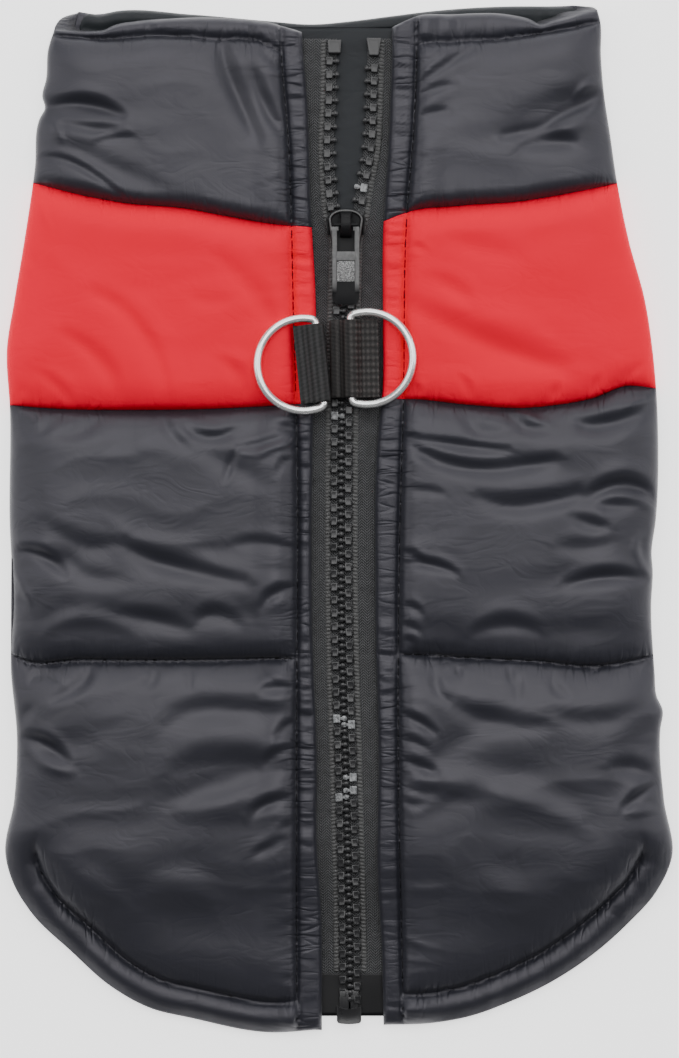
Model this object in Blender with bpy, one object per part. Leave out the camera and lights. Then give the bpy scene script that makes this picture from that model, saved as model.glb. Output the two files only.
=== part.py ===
"""A padded winter coat for a small dog, laid flat on its belly side with the back zip upwards.

The coat is a flattened tube: a near wall (collar, red yokes, black body panels on each side of a zip),
side folds that turn under, and a belly panel with two leg holes that lies on the table. The tail of the
coat runs on past the belly panel's hem. Work is in millimetres until a mesh is made: X to the right,
Y towards the collar, Z up, with the origin on the table under the middle of the coat.
"""
import bpy
import bmesh
import math
import numpy as np

MM = 0.001
LEFT, RIGHT = -1, 1
SEAM_GAP = 0.3              # free space between two pieces that are sewn or set together

# ---- wall and height sizes -------------------------------------------------------------------------
BELLY_TOP = 3.0             # the belly panel and the far collar wall lie from 0 to here
LAYER_CLEAR = 0.4           # the near wall lies this far above them
STITCH_WALL = 2.6           # wall at a stitch line, where the wadding is pressed flat
ZIP_LIFT = 1.7              # the near wall's inner face rises over the zip tape
TAPE_LIFT = 0.7             # the tape's underside above what the near wall lies on
TAPE_WALL = 0.6
CHAIN_HEIGHT = 1.2          # the row of teeth above the tape
CHAIN_WIDTH = 2.85
FOLD_RADIUS = 15.0          # how far in from the side outline the fold rounds over
FOLD_MIDDLE = 4.6           # height of the widest point of the side fold
HEM_RADIUS = 4.5
HEM_MIDDLE = 2.3
UNDER_RADIUS = 4.0          # the fold turns under within this width and then lies on the table
TUCK_WIDTH = 12.0           # how far under the coat the side of a panel reaches, to the belly seam
TUCK_TOP = 2.6
HEM_MARGIN = 8.0            # the hem's topstitching, in from the edge
TAIL_START, TAIL_END = -82.0, -110.0    # the belly panel ends here and the near wall comes down
LIFT_FLAT, LIFT_FADE = 7.0, 9.0         # from the zip edge: the tape's stretch, and where the lift ends
PLACKET_ROLL = 2.2          # rise of the placket between its edge and its stitching
THINNEST_WALL = 1.5
MARGIN_START, MARGIN_FADE = -80.0, 10.0     # y where the hem's margin begins, and the stretch it takes
HEM_ROLL = 2.2              # rise of the hem's margin
HEM_PUFF_WIDTH = 13.0
WRAP_END, WRAP_FADE = -78.0, 9.0        # y where the side stops turning under, and the stretch it takes
FOLD_INSET, HEM_INSET = 6.0, 6.6        # the inner face stays this far inside the outline
PULL_IN_REACH = 26.0        # and eases back to its own plan within this distance

# ---- the plan, measured from the middle of the coat ----------------------------------------------------
# Outline of each side from the collar's top corner, down the side and round the hem to the zip: x, y
OUTLINE = {
    LEFT: ((-70.6, 128.6), (-74.4, 125.2), (-76.4, 115.0), (-77.0, 108.0), (-79.1, 92.0), (-81.9, 72.7),
           (-84.5, 57.1), (-86.4, 45.0), (-85.6, 28.0), (-85.7, 0.0), (-84.8, -22.0), (-85.4, -38.0),
           (-83.8, -57.0), (-84.5, -72.7), (-86.8, -87.5), (-84.9, -94.6), (-80.1, -102.6),
           (-69.7, -112.7), (-59.4, -121.8), (-49.0, -127.5), (-38.6, -130.0), (-17.8, -133.8),
           (-4.5, -133.0)),
    RIGHT: ((67.0, 128.8), (68.2, 121.0), (69.2, 111.0), (70.7, 101.0), (72.6, 88.0), (75.7, 72.7),
            (79.9, 57.1), (82.0, 43.0), (83.3, 22.0), (82.7, 0.0), (81.5, -22.0), (82.4, -40.0),
            (83.8, -58.0), (84.8, -72.7), (86.9, -88.0), (82.9, -97.0), (75.7, -105.2),
            (65.3, -114.3), (54.9, -121.0), (44.5, -125.9), (34.2, -129.6), (23.8, -131.4),
            (11.8, -131.8)),
}
# Sewn lines that cross the coat: x, y
COLLAR_SEAM = ((-79.6, 87.8), (-65.3, 84.2), (-56.5, 82.6), (-39.6, 81.0), (-28.2, 78.9), (-12.3, 76.4),
               (12.0, 77.6), (18.3, 80.1), (31.8, 81.8), (47.1, 82.9), (62.5, 85.5), (73.4, 87.8))
YOKE_SEAM = ((-85.6, 29.9), (-76.8, 29.1), (-51.3, 28.6), (-35.5, 28.8), (-18.0, 29.6), (11.6, 31.4),
             (19.1, 31.4), (34.2, 29.9), (47.1, 29.1), (56.8, 29.9), (66.4, 31.7), (74.7, 34.8),
             (82.7, 34.3))
QUILT_LINE = ((-85.2, -35.1), (-81.7, -36.6), (-68.2, -36.4), (-40.1, -36.4), (-12.3, -35.8),
              (16.8, -34.8), (34.2, -35.8), (51.0, -36.6), (67.9, -37.9), (75.2, -36.9), (82.7, -35.3))
NEAR_COLLAR_TOP = ((-74.0, 126.0), (-60.9, 127.6), (-48.4, 129.9), (-34.4, 130.6), (-18.0, 129.4),
                   (-9.0, 126.8), (12.0, 127.3), (19.6, 130.9), (29.7, 131.7), (45.6, 131.4),
                   (53.9, 129.4), (60.1, 131.0), (68.0, 130.0))
FAR_COLLAR_TOP = ((-70.0, 132.3), (-59.0, 133.0), (-38.6, 132.2), (-17.8, 130.4), (-7.4, 129.6),
                  (3.0, 130.4), (13.4, 131.7), (23.8, 133.0), (44.5, 134.3), (54.9, 134.3), (66.0, 133.6))
# Lines that run down the coat beside the zip: y, x
ZIP_EDGE = {
    LEFT: ((134.0, -9.6), (126.8, -9.5), (110.0, -8.2), (79.0, -7.1), (55.0, -5.9), (30.0, -6.5),
           (-36.0, -6.6), (-60.0, -5.6), (-86.0, -5.6), (-100.0, -4.6), (-134.0, -4.3)),
    RIGHT: ((134.0, 14.0), (123.1, 13.9), (106.0, 13.4), (86.0, 12.3), (76.4, 11.7), (50.6, 11.6),
            (33.0, 11.4), (24.0, 10.4), (-20.0, 9.6), (-62.0, 10.4), (-93.0, 10.2), (-111.0, 11.2),
            (-134.0, 11.8)),
}
PLACKET_STITCH = {
    LEFT: ((134.0, -15.2), (122.0, -14.9), (99.0, -13.1), (75.0, -12.2), (56.0, -11.8), (26.0, -10.9),
           (-60.0, -10.9), (-134.0, -10.9)),
    RIGHT: ((134.0, 20.5), (120.0, 20.3), (102.0, 19.6), (79.0, 17.8), (32.0, 16.9), (-11.0, 15.8),
            (-73.0, 15.7), (-123.0, 16.8), (-134.0, 17.0)),
}
# Middle of the chain of teeth: y, x. Then how far each row stands from it: y, half the opening.
CHAIN_MIDDLE = ((124.0, 3.6), (110.0, 3.3), (95.0, 2.6), (86.0, 2.0), (81.0, 1.9), (70.0, 1.8), (50.0, 1.2),
                (31.0, 0.9), (-31.0, 0.9), (-67.0, 1.9), (-122.0, 3.0), (-131.0, 3.0))
CHAIN_OPENING = ((124.0, 3.3), (110.0, 3.2), (95.0, 3.0), (86.0, 1.9), (81.0, 1.3), (72.0, 0.15),
                 (60.0, 0.15), (-131.0, 0.15))
BELLY_NECK, BELLY_END = 86.7, -78.0     # y of its neck edge, and of the ends of its sides
BELLY_HEM = ((-74.0, -78.0), (-50.0, -80.0), (0.0, -81.0), (50.0, -80.0), (74.0, -78.0))
LEG_HOLES = ((-39.0, 45.0), (40.0, 45.0))
LEG_HOLE_SIZE = (42.0, 50.0)

# The largest folds of the near wall. A negative depth is a trough, a positive one a ridge.
FOLD_COLUMNS = ("x", "y", "angle", "length", "width", "depth")
FOLDS = (
    (-68.0, 107.0, -6.0, 13.0, 3.4, -2.6),      # pinch at the collar's left side
    (-66.0, 100.5, 8.0, 15.0, 3.2, 1.2),
    (-57.0, 90.5, -24.0, 17.0, 2.6, -1.3),
    (-26.0, 111.5, -68.0, 15.0, 3.4, -1.9),     # slanting troughs towards the placket
    (-19.0, 107.5, -63.0, 10.0, 3.0, -1.5),
    (57.0, 106.5, 20.0, 15.0, 3.8, -2.2),       # folds that run to the notch at the right side
    (66.0, 109.5, 6.0, 9.0, 3.0, -2.2),
    (54.0, 98.0, -3.0, 10.0, 3.4, -1.8),
    (25.0, 104.0, 48.0, 12.0, 3.0, -1.2),
    (27.0, 114.0, 25.0, 12.0, 2.8, -1.2),
    (-56.0, 46.0, -50.0, 22.0, 6.0, 1.4),       # yokes
    (-35.0, 62.0, 8.0, 20.0, 5.0, -0.9),
    (44.0, 42.0, 4.0, 22.0, 6.0, -1.6),
    (50.0, 60.0, -12.0, 22.0, 6.0, -0.8),
    (-24.0, 22.5, 8.0, 13.0, 2.8, -1.6),        # upper body, left
    (-29.0, 14.5, -28.0, 9.0, 2.8, -1.5),
    (-75.0, -10.5, 6.0, 13.0, 3.2, -1.6),
    (-38.0, -10.0, 12.0, 18.0, 4.0, -1.3),
    (-44.0, -26.5, 2.0, 34.0, 4.6, -2.0),
    (38.0, 18.0, -14.0, 22.0, 3.2, -1.9),       # upper body, right
    (70.0, 25.5, 10.0, 14.0, 3.0, -1.6),
    (56.0, 6.0, 8.0, 14.0, 3.0, -1.5),
    (74.0, 7.0, 14.0, 12.0, 3.0, -1.4),
    (66.0, -14.5, 6.0, 16.0, 3.6, -1.5),
    (56.0, -29.0, 0.0, 30.0, 4.4, -1.9),
    (-27.0, -50.0, -4.0, 18.0, 3.8, -1.4),      # lower body, left
    (-76.0, -60.0, 14.0, 12.0, 3.8, -1.7),
    (-27.0, -68.0, 10.0, 20.0, 4.4, -1.2),
    (-50.0, -92.0, -16.0, 26.0, 6.0, 0.9),
    (31.0, -58.0, 34.0, 17.0, 3.8, -1.6),       # lower body, right
    (33.0, -72.0, 24.0, 17.0, 3.8, -1.2),
    (78.0, -58.0, 62.0, 14.0, 3.4, -1.6),
    (52.0, -96.0, 14.0, 24.0, 6.0, 0.9),
)
# Puff of the wadding above a stitch line: the height and how far from each line it takes to rise
PUFF_COLUMNS = ("height", "line_width", "placket_width")
PUFFS = {"collar": (4.2, 12.0, 12.0), "yoke": (4.6, 14.0, 15.0), "upper": (5.6, 15.0, 11.0),
         "lower": (5.2, 15.0, 12.0)}
PANEL_WIDTH = 70.0          # from the placket's stitching to the side fold
COLLAR_TOP_MARGIN = 4.4     # topstitching below the collar's edge
COLLAR_ROLL = 1.4           # rise of that margin
COLLAR_PUFF_WIDTH = 11.0    # the wadding rises within this distance of it
COLLAR_EDGE_ROUND = 1.6
COLLAR_EDGE = 0.9           # wall at the very edge, where the band is folded over
COLLAR_FAR_SEAM = 88.0      # height of the seam at the side folds
FAR_COLUMNS = 9             # steps across the far collar wall
LINING_X, LINING_Y = (-15.0, 19.0), (128.2, 87.5)
LINING_WALL = 0.5
LINING_ROWS = 7

# ---- hardware sizes ------------------------------------------------------------------------------------
SLIDER_MIDDLE = (1.9, 76.0)
SLIDER_WIDTH = 10.5
SLIDER_TOP, SLIDER_BOTTOM = 81.0, 69.6      # y of its ends
PLATE_WALL = 0.9
BRIDGE_WIDTH = 3.0
PULL_PIN_HEIGHT = 9.0       # height of the pull tab's hinge pin
PULL_PIN_Y = 76.6
PULL_LENGTH = 20.4
PULL_WIDTH = 7.2
PULL_WALL = 1.2
PULL_TILT = math.radians(4.0)
WEBBING_WIDTH = 20.3
WEBBING_WALL = 0.8
WIRE_RADIUS = 1.0
RING_ARC_RADIUS = 12.0      # to the middle of the wire
RING_ARC_SET = 4.2          # from the straight bar to the arc's centre
RING_ARC_OPEN = 104.5       # degrees from the arc's middle to the end of its round part
# Each ring's bar: middle x, y, height, turn in plan, upward tilt of the ring, way that it lies
RING_COLUMNS = ("x", "y", "z", "turn", "tilt", "way")
RINGS = {"left": (-4.9, 40.7, 10.7, 5.8, 5.5, LEFT), "right": (3.3, 41.9, 8.7, 1.1, 10.0, RIGHT)}

# x0, y0, x1, y1 of the parts that end the row of teeth
TOP_STOPS = {"left": (-2.7, 121.3, 0.4, 124.9), "right": (7.5, 120.9, 11.2, 124.9)}
BOTTOM_BOX = (-0.5, -131.2, 5.8, -127.0)

# ---- colours: base colour, roughness, metallic ------------------------------------------------------------
FINISHES = {
    "black_nylon": ((0.030, 0.032, 0.037, 1.0), 0.42, 0.0),
    "red_nylon": ((0.86, 0.012, 0.022, 1.0), 0.42, 0.0),
    "lining": ((0.020, 0.026, 0.029, 1.0), 0.60, 0.0),
    "zip_tape": ((0.026, 0.027, 0.027, 1.0), 0.85, 0.0),
    "zip_plastic": ((0.018, 0.018, 0.020, 1.0), 0.35, 0.0),
    "webbing": ((0.024, 0.024, 0.025, 1.0), 0.80, 0.0),
    "nickel": ((0.82, 0.82, 0.80, 1.0), 0.14, 1.0),
}


# ---- curves --------------------------------------------------------------------------------------------
def follow(table, where):
    """Smooth curve through the rows of a table: its second column at each value of its first."""
    rows = np.array(sorted(table), dtype=float)
    knots, values = rows[:, 0], rows[:, 1]
    slopes = np.gradient(values, knots)
    where = np.clip(np.asarray(where, dtype=float), knots[0], knots[-1])
    k = np.clip(np.searchsorted(knots, where) - 1, 0, len(knots) - 2)
    step = knots[k + 1] - knots[k]
    u = (where - knots[k]) / step
    start = values[k] * (1 + 2 * u) * (1 - u) ** 2 + values[k + 1] * u * u * (3 - 2 * u)
    return start + step * (slopes[k] * u * (1 - u) ** 2 + slopes[k + 1] * u * u * (u - 1))


def dense_path(points, steps=12):
    """A smooth path through the points, close enough together to measure along."""
    points = np.array(points, dtype=float)
    length = np.concatenate([[0.0], np.cumsum(np.linalg.norm(np.diff(points, axis=0), axis=1))])
    fine = np.concatenate([np.linspace(a, b, steps, endpoint=False) for a, b in zip(length, length[1:])])
    fine = np.append(fine, length[-1])
    along = [follow(list(zip(length, points[:, axis])), fine) for axis in (0, 1)]
    return np.stack(along, axis=1)


def walk(path, fractions):
    """Points at the given fractions of a path's length."""
    length = np.concatenate([[0.0], np.cumsum(np.linalg.norm(np.diff(path, axis=0), axis=1))])
    at = np.asarray(fractions) * length[-1]
    return np.stack([np.interp(at, length, path[:, axis]) for axis in (0, 1)], axis=1)


def path_length(path):
    return float(np.linalg.norm(np.diff(path, axis=0), axis=1).sum())


def chain_side(side, y):
    """Inner side of a row of teeth."""
    return follow(CHAIN_MIDDLE, y) + side * np.maximum(follow(CHAIN_OPENING, y), SEAM_GAP / 2)


def smooth_step(value):
    value = np.clip(value, 0.0, 1.0)
    return value * value * (3 - 2 * value)


def rise(distance, width):
    """Quarter round: 0 at a stitch line, 1 from the given width on."""
    return np.sqrt(1 - (1 - np.clip(distance / width, 0.0, 1.0)) ** 2)


def spread(length, near, middle, far):
    """Fractions of a length: set distances from each end, and even steps between them."""
    start, end = near[-1], length - far[0]
    count = max(1, round((end - start) / middle))
    inner = [start + (end - start) * k / count for k in range(1, count)]
    places = [0.0, *near, *inner, *[length - step for step in far], length]
    return np.array(places) / length


PATHS = {side: dense_path(OUTLINE[side]) for side in (LEFT, RIGHT)}


def path_between(side, top_y, end_xy):
    """The outline from the height top_y on its side to the point of it nearest to end_xy."""
    path = PATHS[side]
    start = int(np.argmin(np.abs(path[: len(path) // 2, 1] - top_y)))
    end = int(np.argmin(np.linalg.norm(path - np.array(end_xy), axis=1)))
    return path[start:end + 1]


def edge_distance(side, points):
    """Distance of plan points from the outline of their side."""
    path = PATHS[side]
    a, b = path[:-1], path[1:]
    run = b - a
    rel = points[:, None, :] - a[None]
    u = np.clip((rel * run).sum(-1) / (run * run).sum(-1), 0.0, 1.0)
    return np.linalg.norm(rel - u[..., None] * run, axis=-1).min(axis=1)


def side_height(side, y):
    """x of the side outline at y."""
    path = PATHS[side]
    upper = path[path[:, 1] > -88.0]
    return np.interp(y, upper[::-1, 1], upper[::-1, 0])


# ---- heights --------------------------------------------------------------------------------------------
def tail(y):
    """0 over the belly panel, 1 on the tail that lies on the table."""
    return smooth_step((TAIL_START - y) / (TAIL_START - TAIL_END))


def ground(y):
    """Height that the near wall lies at."""
    return (BELLY_TOP + LAYER_CLEAR) * (1 - tail(y))


def zip_lift(side, x, y):
    beside = side * (x - follow(ZIP_EDGE[side], y))
    return ZIP_LIFT * (1 - smooth_step((beside - LIFT_FLAT) / LIFT_FADE))


def folds_at(x, y):
    total = np.zeros_like(x)
    for row in FOLDS:
        fold = dict(zip(FOLD_COLUMNS, row))
        turn = math.radians(fold["angle"])
        run = (x - fold["x"]) * math.cos(turn) + (y - fold["y"]) * math.sin(turn)
        off = (y - fold["y"]) * math.cos(turn) - (x - fold["x"]) * math.sin(turn)
        total += fold["depth"] * np.exp(-(run / fold["length"]) ** 2 - (off / fold["width"]) ** 2)
    return total


def wall(side, panel, x, y):
    """Thickness of the padded near wall."""
    beside = side * (x - follow(ZIP_EDGE[side], y))
    band = side * (follow(PLACKET_STITCH[side], y) - follow(ZIP_EDGE[side], y))
    across = np.clip(beside / band, 0.0, 1.0)
    placket = STITCH_WALL - 1.0 + PLACKET_ROLL * np.sin(math.pi * (0.2 + 0.8 * across)) ** 0.8
    placket = np.where(across >= 1.0, STITCH_WALL, placket)
    lines = {"collar": (COLLAR_SEAM,), "yoke": (COLLAR_SEAM, YOKE_SEAM), "upper": (YOKE_SEAM, QUILT_LINE),
             "lower": (QUILT_LINE,)}[panel]
    puff = dict(zip(PUFF_COLUMNS, PUFFS[panel]))
    body = puff["height"] * rise(beside - band, puff["placket_width"])
    press = np.ones_like(x)
    for line in lines:
        press = press * rise(np.abs(y - follow(line, x)), puff["line_width"])
    if panel == "collar":
        top = follow(NEAR_COLLAR_TOP, x) - y
        below = rise(top - COLLAR_TOP_MARGIN, COLLAR_PUFF_WIDTH)
        press = press * np.where(top > COLLAR_TOP_MARGIN, below, 0.0)
        roll = COLLAR_ROLL * np.sin(math.pi * np.clip(top / COLLAR_TOP_MARGIN, 0.0, 1.0)) ** 0.7
    else:
        roll = 0.0
    if panel == "lower":
        edge = edge_distance(side, np.stack([x.ravel(), y.ravel()], axis=1)).reshape(x.shape)
        low = smooth_step((MARGIN_START - y) / MARGIN_FADE)
        press = press * (1 - low + low * rise(edge - HEM_MARGIN, HEM_PUFF_WIDTH))
        roll = low * HEM_ROLL * np.sin(math.pi * np.clip(edge / HEM_MARGIN, 0.0, 1.0)) ** 0.7
    main = STITCH_WALL + body * press + roll + folds_at(x, y) * smooth_step(press * 1.3)
    pinch = 0.45 + 0.55 * press
    return np.maximum(np.where(across < 1.0, placket * (0.72 + 0.28 * pinch), main), THINNEST_WALL)


def near_outer(side, panel, x, y):
    """Height of the near wall's outer face, rounded over at the outline."""
    full = ground(y) + zip_lift(side, x, y) + wall(side, panel, x, y)
    edge = edge_distance(side, np.stack([x.ravel(), y.ravel()], axis=1)).reshape(x.shape)
    down = tail(y)
    radius = FOLD_RADIUS + (HEM_RADIUS - FOLD_RADIUS) * down
    middle = FOLD_MIDDLE + (HEM_MIDDLE - FOLD_MIDDLE) * down
    return middle + (full - middle) * rise(edge, radius)


# ---- solids ---------------------------------------------------------------------------------------------
def finish_material(name):
    material = bpy.data.materials.get(name) or bpy.data.materials.new(name)
    colour, rough, metal = FINISHES[name]
    material.use_nodes = True
    shader = material.node_tree.nodes["Principled BSDF"]
    shader.inputs["Base Color"].default_value = colour
    shader.inputs["Roughness"].default_value = rough
    shader.inputs["Metallic"].default_value = metal
    return material


def add_solid(name, points, faces, finish):
    """One named object from points in millimetres, with its faces turned outwards."""
    mesh = bpy.data.meshes.new(name)
    mesh.from_pydata([tuple(float(c) * MM for c in p) for p in points], [], faces)
    work = bmesh.new()
    work.from_mesh(mesh)
    bmesh.ops.triangulate(work, faces=work.faces)
    bmesh.ops.recalc_face_normals(work, faces=work.faces)
    work.to_mesh(mesh)
    work.free()
    mesh.shade_smooth()
    mesh.set_sharp_from_angle(angle=math.radians(50))
    mesh.materials.append(finish_material(finish))
    thing = bpy.data.objects.new(name, mesh)
    bpy.context.collection.objects.link(thing)
    return thing


def thick_sheet(name, cells, outer, inner, finish):
    """A wall from a sheet of cells (corner numbers) with an outer and an inner point for each corner."""
    count = len(outer)
    faces = [tuple(cell) for cell in cells]
    faces += [tuple(corner + count for corner in reversed(cell)) for cell in cells]
    used = {}
    for cell in cells:
        for a, b in zip(cell, cell[1:] + cell[:1]):
            used[(a, b)] = used.get((a, b), 0) + 1
    for a, b in used:
        if (b, a) not in used:
            faces.append((b, a, a + count, b + count))
    return add_solid(name, np.concatenate([outer, inner]), faces, finish)


def grid_cells(rows, columns):
    return [(r * columns + c, r * columns + c + 1, (r + 1) * columns + c + 1, (r + 1) * columns + c)
            for r in range(rows - 1) for c in range(columns - 1)]


def patch(top, bottom, near, far):
    """Plan grid between four edge lines: rows run from the near line to the far one."""
    s, t = arc_fractions(top)[None, :, None], arc_fractions(far)[:, None, None]
    grid = (1 - t) * top[None] + t * bottom[None] + (1 - s) * near[:, None] + s * far[:, None]
    corners = (1 - t) * ((1 - s) * top[0] + s * top[-1]) + t * ((1 - s) * bottom[0] + s * bottom[-1])
    return grid - corners


def arc_fractions(line):
    length = np.concatenate([[0.0], np.cumsum(np.linalg.norm(np.diff(line, axis=0), axis=1))])
    return length / length[-1]


def seam_line(seam, start_x, end_x, fractions, shift):
    x = start_x + (end_x - start_x) * np.asarray(fractions)
    return np.stack([x, follow(seam, x) + shift], axis=1)


def down_line(table, top_y, bottom_y, fractions):
    y = top_y + (bottom_y - top_y) * np.asarray(fractions)
    return np.stack([follow(table, y), y], axis=1)


# Steps of the grids: beside a stitch line, in the middle of a panel, and towards the side fold
STITCH_STEPS = (2.0, 5.5)
MIDDLE_STEP = 8.0
FOLD_STEPS = (13.0, 8.0, 4.0, 1.4)
PLACKET_PARTS = np.array([0.0, 0.16, 0.5, 0.84, 1.0])
COLUMNS = spread(PANEL_WIDTH, STITCH_STEPS, MIDDLE_STEP, FOLD_STEPS)
HEM_CORNER = (74.5, -107.6)             # the side of the lower body meets its hem here
BEYOND_SIDE = 90.0                      # an x past both sides, to read the end of a crossing line


def channel(side, top_seam, bottom_seam, top_shift, bottom_shift, first=STITCH_STEPS):
    """Plan grid of the near wall between two crossing lines, from the zip edge to the side outline."""
    zip_top = follow(top_seam, follow(ZIP_EDGE[side], 0.0)) + top_shift
    zip_low = follow(bottom_seam, follow(ZIP_EDGE[side], 0.0)) + bottom_shift
    side_top = follow(top_seam, side * BEYOND_SIDE) + top_shift
    side_low = follow(bottom_seam, side * BEYOND_SIDE) + bottom_shift
    rows = spread(zip_top - zip_low, first, MIDDLE_STEP, STITCH_STEPS[::-1])
    far_y = side_top + (side_low - side_top) * rows
    far = np.stack([side_height(side, far_y), far_y], axis=1)
    near = down_line(PLACKET_STITCH[side], zip_top, zip_low, rows)
    top = seam_line(top_seam, near[0, 0], far[0, 0], COLUMNS, top_shift)
    bottom = seam_line(bottom_seam, near[-1, 0], far[-1, 0], COLUMNS, bottom_shift)
    near[0], near[-1], far[0], far[-1] = top[0], bottom[0], top[-1], bottom[-1]
    main = patch(top, bottom, near, far)
    return with_placket(side, main)


def with_placket(side, main):
    """Adds the placket's columns, from the zip edge to the stitch line, in front of a grid."""
    stitch = main[:, 0]
    edge = np.stack([follow(ZIP_EDGE[side], stitch[:, 1]), stitch[:, 1]], axis=1)
    part = PLACKET_PARTS[None, :-1, None]
    placket = edge[:, None] * (1 - part) + stitch[:, None] * part
    return np.concatenate([placket, main], axis=1)


def tail_channel(side):
    """Plan grid of the lower body, from the quilting line round to the hem."""
    corner = (side * HEM_CORNER[0], HEM_CORNER[1])
    side_top = follow(QUILT_LINE, side * BEYOND_SIDE)
    far_path = path_between(side, side_top, corner)
    stitch_x = follow(PLACKET_STITCH[side], -132.0)
    hem = PATHS[side]
    start = int(np.argmin(np.linalg.norm(hem - np.array(corner), axis=1)))
    end = start + int(np.argmin(np.abs(hem[start:, 0] - stitch_x)))
    hem_path = hem[start:end + 1][::-1]
    zip_top = follow(QUILT_LINE, follow(PLACKET_STITCH[side], -36.0))
    zip_low = hem_path[0, 1]
    near_step = (zip_top - zip_low) / path_length(far_path) * MIDDLE_STEP
    far_rows = spread(path_length(far_path), STITCH_STEPS, MIDDLE_STEP, FOLD_STEPS)
    near_rows = spread(zip_top - zip_low, STITCH_STEPS, near_step, FOLD_STEPS)
    rows = min(len(far_rows), len(near_rows))
    far_rows, near_rows = even_out(far_rows, rows), even_out(near_rows, rows)
    near = down_line(PLACKET_STITCH[side], zip_top, zip_low, near_rows)
    far = walk(far_path, far_rows)
    top = seam_line(QUILT_LINE, near[0, 0], far[0, 0], COLUMNS, 0.0)
    bottom = walk(hem_path, COLUMNS)
    near[0], near[-1], far[0], far[-1] = top[0], bottom[0], top[-1], bottom[-1]
    grid = with_placket(side, patch(top, bottom, near, far))
    hem_part = PATHS[side][end:]
    corner_part = walk(hem_part, 1 - PLACKET_PARTS[:-1])
    grid[-1, :len(PLACKET_PARTS) - 1] = corner_part
    return grid


def even_out(fractions, count):
    """The same spread of fractions with a different number of them."""
    old = np.linspace(0, 1, len(fractions))
    return np.interp(np.linspace(0, 1, count), old, fractions)


def tuck_rows(points, inward, wrap):
    """Rows of outer and inner points that turn a panel under, from its outline inwards."""
    middle = FOLD_MIDDLE * wrap + HEM_MIDDLE * (1 - wrap)
    radius = UNDER_RADIUS * wrap + HEM_MIDDLE * (1 - wrap)
    lie = np.zeros_like(wrap)
    outer = [(radius * (1 - math.cos(math.radians(a))), middle * (1 - math.sin(math.radians(a))))
             for a in (38.0, 68.0)]
    outer += [(radius, lie), (TUCK_WIDTH * wrap + 3.1 * (1 - wrap), lie)]
    inner = [(5.2 * wrap + 5.9 * (1 - wrap), 3.1 * wrap), (5.3 * wrap + 5.2 * (1 - wrap), 2.75 * wrap),
             (6.2 * wrap + 4.5 * (1 - wrap), TUCK_TOP * wrap),
             (TUCK_WIDTH * wrap + 3.8 * (1 - wrap), TUCK_TOP * wrap)]
    return [[np.column_stack([points + inward * inset[:, None], height]) for inset, height in rows]
            for rows in (outer, inner)]


def inward_normals(side, points):
    """Plan directions from the outline into the coat: level along the side, square to the hem."""
    path = PATHS[side]
    nearest = np.argmin(np.linalg.norm(points[:, None] - path[None], axis=-1), axis=1)
    lower = np.clip(nearest - 2, 0, len(path) - 1)
    upper = np.clip(nearest + 2, 0, len(path) - 1)
    run = path[upper] - path[lower]
    run /= np.linalg.norm(run, axis=1)[:, None]
    square = np.stack([-run[:, 1], run[:, 0]], axis=1) * -side
    level = np.array([-float(side), 0.0])
    share = smooth_step((WRAP_END - points[:, 1]) / WRAP_FADE)[:, None]
    inward = level * (1 - share) + square * share
    return inward / np.linalg.norm(inward, axis=1)[:, None]


def near_panel(name, side, blocks, finish, hemmed):
    """A panel of the near wall with the side that turns under it, as one closed solid.

    blocks: (panel kind, plan grid) from the top down, each starting on the last one's bottom row.
    """
    grid = blocks[0][1]
    kinds = [blocks[0][0]] * len(grid)
    for kind, more in blocks[1:]:
        grid = np.concatenate([grid, more[1:]])
        kinds += [kind] * (len(more) - 1)
    rows, columns = grid.shape[:2]
    top = np.zeros((rows, columns))
    for kind in set(kinds):
        pick = [r for r in range(rows) if kinds[r] == kind]
        top[pick] = near_outer(side, kind, grid[pick, :, 0], grid[pick, :, 1])
    outer = np.concatenate([grid, top[..., None]], axis=2).reshape(-1, 3)
    loop = [r * columns + columns - 1 for r in range(rows)]
    if hemmed:
        loop += [(rows - 1) * columns + c for c in range(columns - 2, -1, -1)]
    rim = outer[loop, :2]
    inward = inward_normals(side, rim)
    wrap = 1 - smooth_step((WRAP_END - rim[:, 1]) / WRAP_FADE)
    wrap[np.array(loop) % columns != columns - 1] = 0.0
    # the inner face keeps clear of the outline, so that the wall turns round inside the fold
    inset = FOLD_INSET * wrap + HEM_INSET * (1 - wrap)
    plan = pull_in(side, grid.reshape(-1, 2), inset.max() + 0.2)
    plan[loop] = rim + inward * inset[:, None]
    low = ground(plan[:, 1]) + zip_lift(side, plan[:, 0], plan[:, 1])
    inner = np.column_stack([plan, low])
    tuck_outer, tuck_inner = tuck_rows(rim, inward, wrap)
    cells = grid_cells(rows, columns)
    base = len(outer)
    lines = [loop] + [[base + k * len(loop) + i for i in range(len(loop))] for k in range(len(tuck_outer))]
    for one, two in zip(lines, lines[1:]):
        cells += [(one[i], two[i], two[i + 1], one[i + 1]) for i in range(len(loop) - 1)]
    outer = np.concatenate([outer, *tuck_outer])
    inner = np.concatenate([inner, *tuck_inner])
    return thick_sheet(name, cells, outer, inner, finish)


def pull_in(side, points, inset):
    """Moves plan points near the outline inwards, so that the nearest of them lie at the inset."""
    edge = edge_distance(side, points)
    inward = inward_normals(side, points)
    near = np.clip(1 - edge / PULL_IN_REACH, 0.0, 1.0)
    return points + inward * (inset * near)[:, None]


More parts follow.
